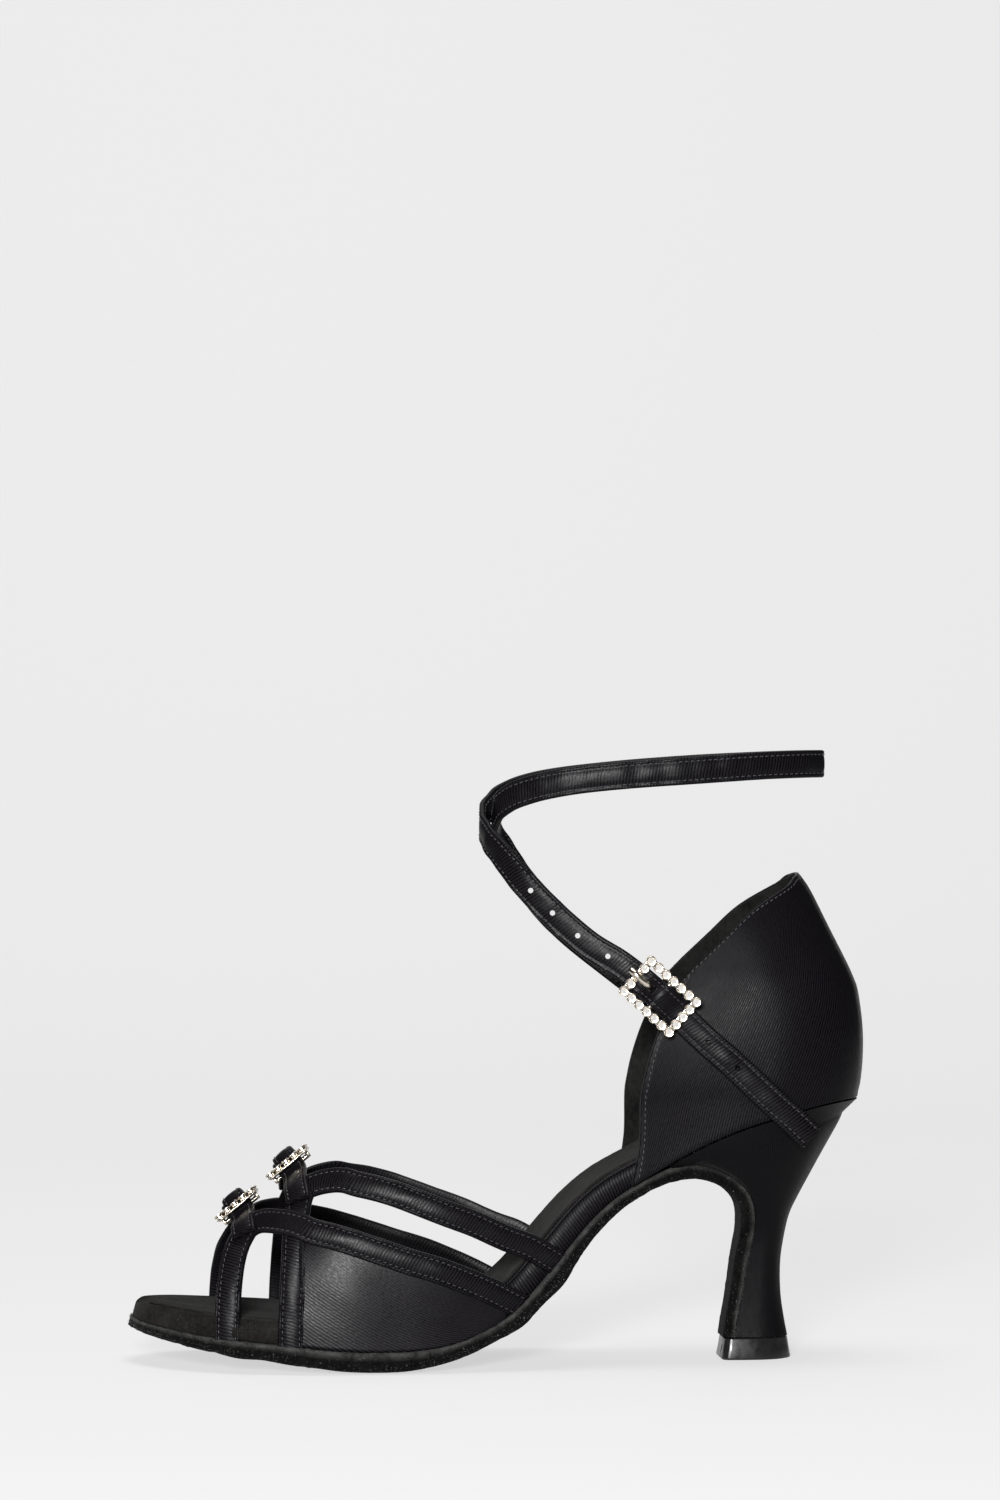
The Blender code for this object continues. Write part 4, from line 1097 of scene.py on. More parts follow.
def makeHeel():
    frontX, backX = heelSize["lipStart"] * last["length"], alongX(1.0)
    shares = [row["share"] for row in refined(levelColumns, heelLevels, 3)]
    xs = [frontX + (backX - frontX) * min(share, 0.9985) for share in shares]
    top = [Vector((x, -ground(x, "outer"), ground(x, "z"))) for x in xs]
    top += [Vector((x, ground(x, "inner"), ground(x, "z"))) for x in xs[-2::-1]]
    # The cover turns over the seat's edge.
    middle = (frontX + backX) / 2
    inward = [point.lerp(Vector((middle, 0, point.z)), 0.06) + Vector((0, 0, 0.02 * mm)) for point in top]
    loops = [inward, top]
    rows = breastPath(5)
    for i, row in enumerate(rows):
        if row["frontX"] < frontX and row["frontZ"] > 0.5 * last["seatHeight"]:
            continue
        up = upFrom(rows, i, "frontX", "frontZ") if i < len(rows) - 1 else Vector((1, 0, 0))
        front = Vector((row["frontX"], 0, row["frontZ"])) - up * heelSize["behindLeather"] * mm
        loops.append(heelRing(front, Vector((row["backX"], 0, row["backZ"])), row["heel"], heelLevels))
    return finishPiece(loft("heel", loops, 50), looks["heelSatin"], "satin", "heel")


def makeTopLift():
    row = breastPath(1)[-1]
    front = row["frontX"] - row["thick"] + 0.6 * mm
    loops = []
    for height, flare, shrink in liftRings:
        spread = topLiftSize["flare"] * flare * mm
        a = Vector((front - spread, 0, height * mm))
        b = Vector((row["backX"] + spread, 0, height * mm))
        centre = (a + b) / 2
        outline = heelRing(a, b, row["heel"] + 0.8 * spread, liftLevels)
        loops.append([centre + (point - centre) * shrink for point in outline])
    piece = loft("topLift", loops, 50)
    # The moulded slot in the front face.
    place = Vector((front, 0, 0)) + Vector(topLiftSize["slotAt"]) * mm
    turn = (math.radians(topLiftSize["slotTurn"]), 0, 0)
    box = {"size": 1, "location": place, "scale": Vector(topLiftSize["slot"]) * mm, "rotation": turn}
    cutBy(piece, addShape(bpy.ops.mesh.primitive_cube_add, **box))
    return finishPiece(smoothed(piece, 40), looks["plastic"], "lift_plastic", "top_lift")


# Heel cup: a satin shell, a suede lining and a stitched top edge.
cupSize = {"wall": 1.25, "lining": 0.7, "edge": 0.45, "stitchIn": 1.15, "columns": 46, "levels": 34}


def topline(x):
    return last["seatHeight"] + last["quarterHeight"] * toplineLine.at(x, "up")


def cupTop(share):
    low, high = last["seatHeight"], last["seatHeight"] + last["quarterHeight"]
    for _ in range(26):
        middle = (low + high) / 2
        if topline(cupX(share, middle)) > middle:
            low = middle
        else:
            high = middle
    return low


def cupBottom(share):
    z = last["seatHeight"]
    for _ in range(12):
        z = 0.5 * z + 0.5 * (ground(cupX(share, z), "z") + 0.35 * mm)
    return z


def wallOut(x, z, side):
    # The way out of the cup's wall.
    step = 0.5 * mm
    slopeX = (cupSide(x + step, z, side) - cupSide(x - step, z, side)) / (2 * step)
    slopeZ = (cupSide(x, z + step, side) - cupSide(x, z - step, side)) / (2 * step)
    return Vector((-slopeX, side, -slopeZ)).normalized()


def cupShares():
    n = cupSize["columns"]
    shares = [1 - (1 - i / n) ** 1.7 for i in range(n + 1)]
    return [(share, -1) for share in shares] + [(share, 1) for share in reversed(shares)]


def cupPoint(share, side, level, shrink=0.0, top=0.0, bottom=0.0):
    # A point of the cup's outer wall, moved in by shrink. top and bottom draw the edges in.
    high, low = cupTop(share) - top, cupBottom(share) + bottom
    z = low + (high - low) * level
    x = cupX(share, z)
    out = Vector((1, 0, 0)) if share > 0.999 else wallOut(x, z, side)
    return Vector((x, side * cupSide(x, z, side), z)) - out * shrink


def creases(point, amount):
    # Soft troughs over the counter's lower edge and the slack at the front corners.
    low = bump(point.z, last["seatHeight"] + 6 * mm, 5 * mm)
    front = bump(point.x, -26 * mm, 9 * mm) * bump(point.z, 80 * mm, 14 * mm)
    trough = 0.5 * low * math.sin(point.x / (5.5 * mm))
    return amount * (trough + front * math.sin((point.x + point.z) / (3.6 * mm)))


def cupShell(name, loops, wall, edge, segments):
    piece = loft(name, loops, 70, closed=False)
    editMode(piece, lambda: bpy.ops.mesh.remove_doubles(threshold=0.02 * mm), faceOut)
    applyModifier(piece, "SOLIDIFY", thickness=wall * mm, offset=-1, use_even_offset=True)
    corners = {"limit_method": "ANGLE", "angle_limit": math.radians(50)}
    applyModifier(piece, "BEVEL", width=edge * mm, segments=segments, **corners)
    return piece


def makeCup():
    levels = [i / cupSize["levels"] for i in range(cupSize["levels"] + 1)]
    outside, inside = [], []
    for share, side in cupShares():
        points = [cupPoint(share, side, level) for level in levels]
        outside.append([point + Vector((0, side, 0)) * creases(point, 0.12 * mm) for point in points])
        shrink = (cupSize["wall"] + 0.02) * mm
        inside.append([cupPoint(share, side, level, shrink, top=0.35 * mm) for level in levels])
    shell = cupShell("quarter", outside, cupSize["wall"], cupSize["edge"], 3)
    finishPiece(shell, looks["satin"], "satin", "quarter")
    lining = cupShell("quarterLining", inside, cupSize["lining"], 0.25, 2)
    finishPiece(lining, looks["lining"], "sock_suede")


# Vamp: crossed straps with folded rims, toe bands over the buckles' bars and a plain side panel.
strapSize = {
    "width": 7.3,
    "thick": 1.7,
    "bandWidth": 8.0,
    "panelThick": 1.1,
    "panelSlack": 0.22,
    "step": 0.5,
    "stitch": 1.75,
    "stitchSkip": 1.2,
    "seamIn": 1.2,
    "bandSeamIn": 1.3,
    "pucker": 0.16,
    "ripple": 0.12,
    "upright": 0.35,
    "farDrop": 0.05,
}


def mirrored(rows):
    return tuple((-across, high) for across, high in reversed(rows))


# Half a strap's section: across of the half width, and height of the thickness.
strapHalf = (
    (-0.90, 0.00),
    (-1.00, 0.16),
    (-1.02, 0.50),
    (-0.97, 0.82),
    (-0.88, 0.98),
    (-0.79, 0.96),
    (-0.73, 0.78),
    (-0.67, 0.68),
    (-0.58, 0.76),
    (-0.30, 0.86),
)
strapProfile = strapHalf + ((0.00, 0.88),) + mirrored(strapHalf) + ((0.30, 0.05), (-0.30, 0.05))


flatHalf = (
    (-0.97, 0.76),
    (-0.90, 0.90),
    (-0.80, 0.93),
    (-0.70, 0.88),
    (-0.64, 0.86),
    (-0.54, 0.92),
    (-0.25, 0.97),
)
flatTop = flatHalf + ((0.00, 0.98),) + mirrored(flatHalf)
flatEdges = ((1.0, 0.62), (1.0, 0.38))
flatUnder = tuple((across, 1 - high) for across, high in reversed(flatTop))
flatProfile = flatTop + flatEdges + flatUnder + mirrored(flatEdges)


def ribbonFrames(rows):
    frames = []
    for i, row in enumerate(rows):
        before, after = beside(rows, i)
        run = (after["point"] - before["point"]).normalized()
        side = run.cross(row["normal"]).normalized()
        out = side.cross(run).normalized()
        ways = {"base": row["point"] + out * row["lift"], "side": side, "out": out, "run": run}
        frames.append({"wide": 1.0, "round": 0.0, **row, **ways})
    return frames


def pucker(travelled, place, high):
    # The thread pulls the cloth down at each stitch, and the field between the rows ripples a little.
    if high <= 0.3:
        return 0.0
    pull = 0.5 + 0.5 * math.cos(2 * math.pi * travelled / (strapSize["stitch"] * mm))
    seam = bump(abs(place), 0.68, 0.16) * pull
    waves = math.sin(travelled / (1.9 * mm) + 2 * place) * math.sin(travelled / (7.3 * mm))
    rim = bump(abs(place), 0.95, 0.12) * math.sin(travelled / (1.3 * mm) + 3 * place)
    ripple = bump(place, 0.0, 0.5) * waves + 0.6 * rim
    return (strapSize["ripple"] * ripple - strapSize["pucker"] * seam) * mm


def ribbon(name, rows, width, profile=strapProfile):
    frames = ribbonFrames(rows)
    loops = []
    travelled = 0.0
    for i, row in enumerate(frames):
        if i:
            travelled += (row["base"] - frames[i - 1]["base"]).length
        loop = []
        for place, high in profile:
            moved = high * row["thick"] + pucker(travelled, place, high) - row["round"] * 0.35 * mm * place**4
            loop.append(row["base"] + row["side"] * place * width / 2 * row["wide"] + row["out"] * moved)
        loops.append(loop)
    # Rounded ends: a drawn-in loop past each end.
    ends = []
    for at, way in ((0, -1), (-1, 1)):
        row = frames[at]
        centre = row["base"] + row["out"] * row["thick"] * 0.5
        ends.append([centre + (point - centre) * 0.86 + row["run"] * way * 0.35 * mm for point in loops[at]])
    return loft(name, [ends[0], *loops, ends[1]], 50), frames


def between(a, b, share):
    return a.lerp(b, share) if isinstance(a, Vector) else a + (b - a) * share


def evenRows(rows, step):
    # The same path with its rows an even step apart.
    found = [dict(rows[0])]
    left = step
    for a, b in zip(rows, rows[1:]):
        long = (b["point"] - a["point"]).length
        at = left
        while at <= long:
            found.append({key: between(a[key], b[key], at / long) for key in a})
            at += step
        left = at - long
    return found


def legRows(rows, side):
    path = []
    upright = strapSize["upright"] if side < 0 else 0.0
    thick = strapSize["thick"] * mm
    for row in refined(("along", "rise", "lift"), rows, 7):
        if row["rise"] < -0.06:
            continue
        rise = row["rise"] * (1.0 if side < 0 else 1 - strapSize["farDrop"] * max(0.0, row["rise"]))
        point = lastPoint(alongX(row["along"]), rise, side)
        normal = (lastNormal(point) * (1 - upright) + Vector((0, side, 0)) * upright).normalized()
        path.append({"point": point, "normal": normal, "lift": row["lift"] * thick, "thick": thick})
    return evenRows(path, strapSize["step"] * mm)


stitchPlaces = []


def stitchRow(points, outs):
    # Places for stitches along a line of points, each lying on its surface.
    travelled = 0.0
    total = sum((b - a).length for a, b in zip(points, points[1:]))
    skip = strapSize["stitchSkip"] * mm
    nextAt = skip
    for a, b, out in zip(points, points[1:], outs):
        step = (b - a).length
        while nextAt <= travelled + step and nextAt < total - skip:
            share = (nextAt - travelled) / max(step, 1e-9)
            stitchPlaces.append(facing(a.lerp(b, share) + out * 0.04 * mm, b - a, out))
            nextAt += strapSize["stitch"] * mm
        travelled += step


def stitchStrap(frames, width, inset, high=0.70, faces=(1,)):
    # A row along each edge, and the same on the underside where faces has -1.
    for side in (-1, 1):
        wide = side * (width / 2 - inset) * mm
        for face in faces:
            tall = high if face > 0 else 1 - high
            line = []
            for row in frames:
                line.append(row["base"] + row["side"] * wide * row["wide"] + row["out"] * tall * row["thick"])
            stitchRow(line, [row["out"] * face for row in frames])


# Half a toe band: across of the half width, lift off the last and thickness, in strap thicknesses.
bandRows = (
    (0.690, 1.05, 1.0),
    (0.600, 1.05, 1.0),
    (0.500, 0.75, 1.0),
    (0.400, 0.20, 1.0),
    (0.320, 0.00, 1.0),
    (0.215, 0.00, 1.0),
    (0.175, 0.35, 1.2),
    (0.130, 1.10, 1.9),
    (0.050, 1.45, 2.5),
    (0.000, 1.50, 2.6),
)
bandSpots = {"front": (0.1607, 0.006), "rear": (0.2300, 0.010)}


def bandPath(along, sweep, layer):
    # layer 0 lies flat under the bar, 1 rises half way and 2 goes over it.
    half = table(("across", "lift", "thick"), bandRows)
    other = [{**row, "across": -row["across"]} for row in reversed(half[:-1])]
    path = []
    thick = strapSize["thick"] * mm
    for row in refine(half + other, 5):
        if layer < 2 and abs(row["across"]) > 0.27:
            continue
        point = ridgePoint(alongX(along + sweep * row["across"] ** 2), -row["across"])
        over = (row["lift"] + row["thick"]) * thick - thick
        raised = clamp(over / (3 * thick))
        lift, tall, wide, shift = (
            (0.0, 0.8 * thick, 0.92, 0.0),
            (max(0.25 * mm, over * 0.84 - 0.1 * mm), 0.9 * mm, 1.0, -0.35),
            (over, thick, 1.0 - 0.13 * raised, 0.35),
        )[layer]
        point.x += shift * raised * mm
        made = {"point": point, "normal": lastNormal(point), "lift": lift, "thick": tall}
        path.append({**made, "wide": wide, "round": raised})
    return evenRows(path, strapSize["step"] * mm)


def makePanel(name, side):
    upper = Line(refined(("along", "rise", "lift"), rearLegA, 4), "along")
    start, stop = frontLegB[1][0] + 0.012, rearLegA[-2][0]
    loops = []
    steps, shares = 60, 26
    for step in range(steps + 1):
        along = start + (stop - start) * step / steps
        x = alongX(along)
        top = upper.at(along, "rise") - 1.2 * mm / ridge(x)
        low = -0.3 * mm / ridge(x)
        loop = []
        for k in range(shares + 1):
            share = k / shares
            point = lastPoint(x, low + (top - low) * share, side)
            # Slack drawn down from the strap towards the ball.
            folds = math.sin((point.x * 0.9 + point.z * 1.5) / (4.3 * mm)) * bump(share, 0.55, 0.35)
            swell = bump(point.x + 0.4 * point.z, alongX(0.34), 7 * mm)
            slack = 0.12 + 0.10 * folds + strapSize["panelSlack"] * swell
            loop.append(point + lastNormal(point) * slack * mm)
        loops.append(loop)
    piece = loft(name, loops, 70, closed=False)
    facesOut = side * sum(polygon.normal.y * polygon.area for polygon in piece.data.polygons) > 0
    applyModifier(piece, "SOLIDIFY", thickness=strapSize["panelThick"] * mm, offset=1 if facesOut else -1)
    # The panel's satin is the lighter, glossier copy of the black satin: a painted sheen.
    return finishPiece(piece, looks["litPanelSatin"], "satin", "vamp")


def makeVamp():
    legs = {
        "frontStrapB": frontLegB,
        "rearStrapB": rearLegB,
        "frontStrapA": frontLegA,
        "rearStrapA": rearLegA,
    }
    for side, label in ((-1, "outer"), (1, "inner")):
        makePanel(f"sidePanel_{label}", side)
        for name, rows in legs.items():
            piece, frames = ribbon(f"{name}_{label}", legRows(rows, side), strapSize["width"] * mm)
            finishPiece(piece, looks["strapSatin"], "satin", "vamp")
            stitchStrap(frames, strapSize["width"], strapSize["seamIn"])
    for name, (along, sweep) in bandSpots.items():
        for layer in range(3):
            rows = bandPath(along, sweep, layer)
            piece, frames = ribbon(f"toeBand_{name}_{layer}", rows, strapSize["bandWidth"] * mm, flatProfile)
            finishPiece(piece, looks["strapSatin"], "satin", "vamp")
        stitchStrap(frames, strapSize["bandWidth"], strapSize["bandSeamIn"], high=0.89)
    print("vamp made")


# Buckles: a cast frame with a bar, round cups and faceted stones.
buckleSize = {
    "faces": (-0.08, -0.995, 0.06),
    "pitch": 2.9,
    "long": 7,
    "short": 5,
    "stoneRadius": 1.18,
    "stoneTable": 0.58,
    "stoneTall": 0.62,
    "stoneSeat": 1.24,
    "plateWidth": 2.0,
    "plateThick": 0.65,
    "edge": 0.3,
    "bar": 0.7,
    "barLow": 0.2,
    "claw": 0.16,
    "clawOut": 1.2,
    "clawUp": 1.42,
    "prong": 0.95,
}
# Half the buckle's long and short way, from stone to stone.
buckleHalf = [(buckleSize[way] - 1) / 2 * buckleSize["pitch"] * mm for way in ("long", "short")]


def bandBucklePlace(along):
    point = ridgePoint(alongX(along), 0.0)
    return facing(point, Vector(buckleSize["faces"]), lastNormal(point))


def stonePlaces(height):
    # The middles of the cups round the frame, at one height.
    pitch = buckleSize["pitch"] * mm
    places = []
    for i in range(buckleSize["long"]):
        for j in range(buckleSize["short"]):
            if i in (0, buckleSize["long"] - 1) or j in (0, buckleSize["short"] - 1):
                spot = (i * pitch - buckleHalf[0], j * pitch - buckleHalf[1], height)
                places.append(Matrix.Translation(spot))
    return places


def roundedBox(size, middle, width):
    piece = addShape(bpy.ops.mesh.primitive_cube_add, size=1, location=middle, scale=size)
    applyModifier(piece, "BEVEL", width=width, segments=2, limit_method="NONE")
    return piece


cupProfile = (
    # Radius and height of the cup's outline, in mm, from its foot to the seat of its stone.
    (0.6, 0.0),
    (1.36, 0.0),
    (1.42, 0.10),
    (1.36, 0.28),
    (1.12, 0.38),
    (1.10, 0.85),
    (1.40, 0.98),
    (1.48, 1.12),
    (1.45, 1.34),
    (1.29, 1.40),
    (1.22, 1.20),
    (0.4, 1.05),
)


def makeCupTemplate():
    x, y = Vector((1, 0, 0)), Vector((0, 1, 0))
    loops = [ring(Vector((0, 0, height * mm)), x, y, radius * mm, 20) for radius, height in cupProfile]
    parts = [loft("cup", loops, 40)]
    radius = buckleSize["claw"] * 1.35 * mm
    ball = {"segments": 8, "ring_count": 5, "radius": radius, "scale": (1.0, 1.0, 1.1)}
    for i in range(4):
        turn = math.pi / 4 + i * math.pi / 2
        out = Vector((math.cos(turn), math.sin(turn), 0)) * buckleSize["clawOut"] * mm
        place = out + Vector((0, 0, buckleSize["clawUp"] * mm))
        parts.append(addShape(bpy.ops.mesh.primitive_uv_sphere_add, location=place, **ball))
    return joined("cupTemplate", parts)


def makeStoneTemplate():
    radius, seat = buckleSize["stoneRadius"] * mm, buckleSize["stoneSeat"] * mm
    cone = {"vertices": 8, "radius1": radius, "radius2": buckleSize["stoneTable"] * radius}
    place = {"location": (0, 0, seat), "rotation": (0, 0, math.pi / 8)}
    stone = addShape(bpy.ops.mesh.primitive_cone_add, depth=buckleSize["stoneTall"] * mm, **cone, **place)
    for vertex in stone.data.vertices:
        vertex.select = vertex.co.z > seat
    activate(stone)
    bpy.ops.object.mode_set(mode="EDIT")
    bpy.ops.mesh.select_mode(type="VERT")
    bpy.ops.mesh.bevel(offset=0.2 * mm, affect="VERTICES")
    bpy.ops.object.mode_set(mode="OBJECT")
    return stone


def makeBuckle(name, place, strapThick, *nodes):
    longHalf, shortHalf = buckleHalf
    width, thick, edge = (buckleSize[key] * mm for key in ("plateWidth", "plateThick", "edge"))
    floor = strapThick * mm + last["gap"]
    middle = floor + thick / 2
    sides = []
    longBox = (2 * longHalf + width, width, thick)
    shortBox = (width, 2 * shortHalf + width, 0.98 * thick)
    for j in (-1, 1):
        sides.append(roundedBox(longBox, (0, j * shortHalf, middle), edge))
    for i in (-1, 1):
        sides.append(roundedBox(shortBox, (i * longHalf, 0, middle), edge))
    radius = buckleSize["bar"] * mm
    bar = {"vertices": 16, "radius": radius, "depth": 2 * shortHalf + 0.4 * width}
    spot = {"location": (0, 0, radius + buckleSize["barLow"] * mm), "rotation": (math.pi / 2, 0, 0)}
    sides.append(addShape(bpy.ops.mesh.primitive_cylinder_add, **bar, **spot))
    for j in (-1, 1):
        post = (2.1 * radius, 1.5 * radius, middle - 0.2 * mm)
        y = j * (shortHalf + width / 4 - radius / 2)
        sides.append(roundedBox(post, (0, y, middle / 2 + 0.1 * mm), 0.25 * mm))
    places = stonePlaces(floor + thick - 0.2 * mm)
    whole = joined("frameBars", sides)
    metal = joined(name, [whole, scattered("cups", makeCupTemplate(), places)])
    metal.data.transform(place)
    rng = random.Random(name)
    turned = []
    for spot in places:
        turn = Matrix.Rotation(rng.uniform(0, 0.8), 4, "Z")
        lean = Matrix.Rotation(rng.uniform(-0.06, 0.06), 4, "X")
        turned.append(spot @ turn @ lean)
    stones = scattered(name + "Stones", makeStoneTemplate(), turned)
    stones.data.transform(place)
    for polygon in stones.data.polygons:
        polygon.use_smooth = False
    finishPiece(smoothed(metal, 30), looks["metal"], "buckle_metal", *nodes)
    finishPiece(stones, looks["stone"], "buckle_metal", *nodes)


# Ankle strap: one strap from its free tail twice round the ankle to the inner side of the heel cup.
ankleSize = {
    "seenFrom": (-0.2023, -1.5948, 0.1766),
    "width": 8.0,
    "thick": 2.0,
    "steps": 10,
    "step": 0.7,
    "wave": 0.16,
    "seamIn": 1.3,
    "hole": 0.78,
    "tabWidth": 5.8,
    "tabThick": 1.0,
    "tabGap": 0.3,
    "barReach": 3.4,
    "slot": 4.2,
    "standoffNear": 1.9,
    "standoffFar": 0.6,
}
# The strap laid on the cup: X of the length, and height of the quarter height.
tailRows = (
    (0.0621, -0.149),
    (0.0370, -0.071),
    (0.0094, 0.008),
    (-0.0475, 0.181),
    (-0.0871, 0.294),
    (-0.1430, 0.469),
)
sewnRows = (
    (-0.1800, 0.560),
    (-0.1430, 0.469),
    (-0.1100, 0.390),
    (-0.0820, 0.325),
)
# The open runs: X of the length, side of the ankle's half width, and height of the ankle's rise.
loopRows = (
    (-0.1930, -0.760, 0.407),
    (-0.2390, -0.700, 0.471),
    (-0.2885, -0.615, 0.567),
    (-0.3224, -0.530, 0.648),
    (-0.3478, -0.425, 0.718),
    (-0.3661, -0.255, 0.775),
    (-0.3735, -0.050, 0.815),
    (-0.3630, 0.165, 0.860),
    (-0.3370, 0.345, 0.903),
    (-0.2824, 0.440, 0.940),
    (-0.1882, 0.500, 0.966),
    (-0.0847, 0.490, 0.984),
    (0.0000, 0.390, 0.994),
    (0.0590, 0.235, 0.999),
    (0.0870, 0.105, 1.000),
    (0.0935, 0.000, 1.000),
    (0.0870, -0.105, 1.000),
    (0.0590, -0.240, 0.999),
    (0.0000, -0.400, 0.994),
    (-0.0847, -0.500, 0.982),
    (-0.1882, -0.505, 0.966),
    (-0.2635, -0.450, 0.947),
    (-0.3190, -0.320, 0.918),
    (-0.3480, -0.140, 0.880),
    (-0.3545, 0.060, 0.833),
    (-0.3470, 0.250, 0.780),
    (-0.3300, 0.410, 0.718),
    (-0.3082, 0.530, 0.648),
    (-0.2800, 0.625, 0.567),
    (-0.2380, 0.710, 0.480),
)
# The strap's holes, as X and Z of their middles in mm. The first four are in the run beyond the buckle.
holePlaces = ((-66.0, 136.4), (-59.7, 130.1), (-52.9, 123.8), (-45.4, 117.2), (-16.1, 93.4), (-7.6, 85.9))


def laidPoint(along, up, side, off):
    x = along * last["length"]
    z = last["seatHeight"] + up * last["quarterHeight"]
    return Vector((x, side * (cupSide(x, max(z, last["seatHeight"]), side) + off), z))


def strapPath():
    half = ankleSize["thick"] / 2
    tail = [laidPoint(along, up, -1, (ankleSize["standoffNear"] + half) * mm) for along, up in tailRows]
    sewn = [laidPoint(along, up, 1, (ankleSize["standoffFar"] + half) * mm) for along, up in sewnRows]
    loop = []
    for along, side, up in loopRows:
        z = last["seatHeight"] + up * last["ankleRise"]
        loop.append(Vector((along * last["length"], side * last["ankleWidth"], z)))
    knots = [{"point": point} for point in tail + loop + sewn]
    return [row["point"] for row in refine(knots, ankleSize["steps"])]


# Where the buckle's bar sits on the path, and how far its tab's outside stands off it.
barAt = (len(tailRows) - 1) * ankleSize["steps"]
tabReach = buckleSize["bar"] + ankleSize["tabGap"] + ankleSize["tabThick"]


def buckleKnot():
    path = strapPath()
    longWay = path[barAt + 6] - path[barAt - 6]
    out = Vector((longWay.y, -longWay.x, 0))
    place = facing(path[barAt], -longWay, out if out.y < 0 else -out)
    return place @ Matrix.Translation((0, 0, -ankleSize["thick"] / 2 * mm))


def ankleRows():
    place = buckleKnot()
    thick = ankleSize["thick"] * mm
    outWay = place.to_3x3() @ Vector((0, 0, 1))
    middle = place.translation + outWay * thick / 2
    rise = (2 * buckleSize["bar"] + buckleSize["barLow"] + ankleSize["tabThick"] + 0.9) * mm
    evenly = evenRows([{"point": point} for point in strapPath()], ankleSize["step"] * mm)
    rows = []
    for i, row in enumerate(evenly):
        point = row["point"]
        before, after = beside(evenly, i)
        run = after["point"] - before["point"]
        out = Vector((-run.y, run.x, 0)).normalized()
        near = bump((point - middle).length, 0, ankleSize["barReach"] * mm)
        # Small waves where the strap was pulled through the buckle again and again.
        wave = ankleSize["wave"] * mm * (math.sin(i * 0.25) + 0.6 * math.sin(i * 0.55 + 1)) * (1 - near)
        loose = 1.0 if point.z > last["seatHeight"] + last["quarterHeight"] * 0.75 else 0.25
        moved = point + outWay * near * rise + out * wave * loose
        rows.append({"point": moved, "normal": out, "lift": -thick / 2, "thick": thick})
    return rows


def slotCutter():
    # The slot that the prong goes through.
    long = ankleSize["slot"] * mm
    size = (long, 2 * (buckleSize["prong"] + 0.3) * mm, 16 * mm)
    box = {"size": 1, "location": (-tabReach * mm - long / 2, 0, 3 * mm), "scale": size}
    cutter = addShape(bpy.ops.mesh.primitive_cube_add, **box)
    cutter.data.transform(buckleKnot())
    return cutter


def holeCutter(frames, x, z):
    # The near side's row closest to the hole.
    target = Vector((x * mm, 0, z * mm))
    nearSide = [row for row in frames if row["base"].y < 0]
    near = min(nearSide, key=lambda row: (Vector((row["base"].x, 0, row["base"].z)) - target).length)
    centre = near["base"] + near["out"] * near["thick"] / 2
    # The light shows through the holes of the open run, so they go on through the run behind it.
    laid = centre.z < last["seatHeight"] + 0.5 * last["quarterHeight"]
    rod = {"vertices": 20, "radius": ankleSize["hole"] * mm, "depth": (6 if laid else 200) * mm}
    cutter = addShape(bpy.ops.mesh.primitive_cylinder_add, **rod)
    way = near["out"] if laid else Vector(ankleSize["seenFrom"]) - centre
    cutter.data.transform(Matrix.Translation(centre) @ way.to_track_quat("Z", "Y").to_matrix().to_4x4())
    return cutter


def makeAnkleStrap():
    piece, frames = ribbon("ankleStrap", ankleRows(), ankleSize["width"] * mm, flatProfile)
    cutBy(piece, slotCutter(), *(holeCutter(frames, x, z) for x, z in holePlaces))
    finishPiece(smoothed(piece, 45), looks["strapSatin"], "satin", "ankle_strap")
    stitchStrap(frames, ankleSize["width"], ankleSize["seamIn"], high=0.89, faces=(1, -1))


def makeProng():
    wire = buckleSize["prong"]
    over = (ankleSize["thick"] + 3.3 + wire) * mm
    side = buckleHalf[0]
    root = (tabReach + 0.3 + wire) * mm
    knots = (
        (-root, (buckleSize["barLow"] + 2.4 * buckleSize["bar"]) * mm),
        (-1.25 * root, 0.62 * over),
        (-0.68 * side, 0.92 * over),
        (-side, over),
        (-1.18 * side, 0.93 * over),
        (-1.31 * side, 0.74 * over),
    )
    path = refine([{"point": Vector((u, 0, h))} for u, h in knots], 6)
    piece = tube("prong", [row["point"] for row in path], wire * mm, 2, sides=14)
    piece.data.transform(buckleKnot())
    return finishPiece(piece, looks["metal"], "buckle_metal", "buckle_prong")


def makeTab():
    path = strapPath()
    place = buckleKnot()
    turned = place.to_3x3()
    outWay = turned @ Vector((0, 0, 1))
    thick = ankleSize["tabThick"] * mm
    under = ankleSize["thick"] / 2 * mm + last["gap"] + thick / 2
    rows = [{"point": path[i] - outWay * under, "normal": outWay} for i in range(barAt - 14, barAt - 2, 2)]
    radius = (buckleSize["bar"] + ankleSize["tabGap"]) * mm + thick / 2
    centre = Vector((0, 0, (buckleSize["bar"] + buckleSize["barLow"]) * mm))
    for step in range(-1, 8):
        angle = math.radians(-90 - 25 * step)
        out = Vector((math.cos(angle), 0, math.sin(angle)))
        rows.append({"point": place @ (centre + out * radius), "normal": -(turned @ out)})
    rows[-9]["point"] = rows[-9]["point"].lerp(rows[-10]["point"], 0.3)
    for row in rows:
        row["lift"], row["thick"] = -thick / 2, thick
    piece, _ = ribbon("buckleTab", refine(rows, 3), ankleSize["tabWidth"] * mm)
    return finishPiece(piece, looks["strapSatin"], "satin", "buckle_tab")


# Stitches, all of one thread.
stitchSize = {"long": 1.12, "wide": 0.32, "tall": 0.19}


def cupStitches():
    # A row below the heel cup's top edge and down its two front edges.
    inset = cupSize["stitchIn"] * mm
    middle = last["seatHeight"] + 30 * mm
    share = inset / (cupX(1, middle) - cupX(0, middle))
    for side in (-1, 1):
        along = [cupPoint(i / 40 * 0.995, side, 1.0, top=inset) for i in range(41)]
        down = [cupPoint(share, side, i / 15, top=inset, bottom=inset) for i in range(16)]
        for line in (along, down):
            stitchRow(line, [wallOut(point.x, point.z, side) for point in line])


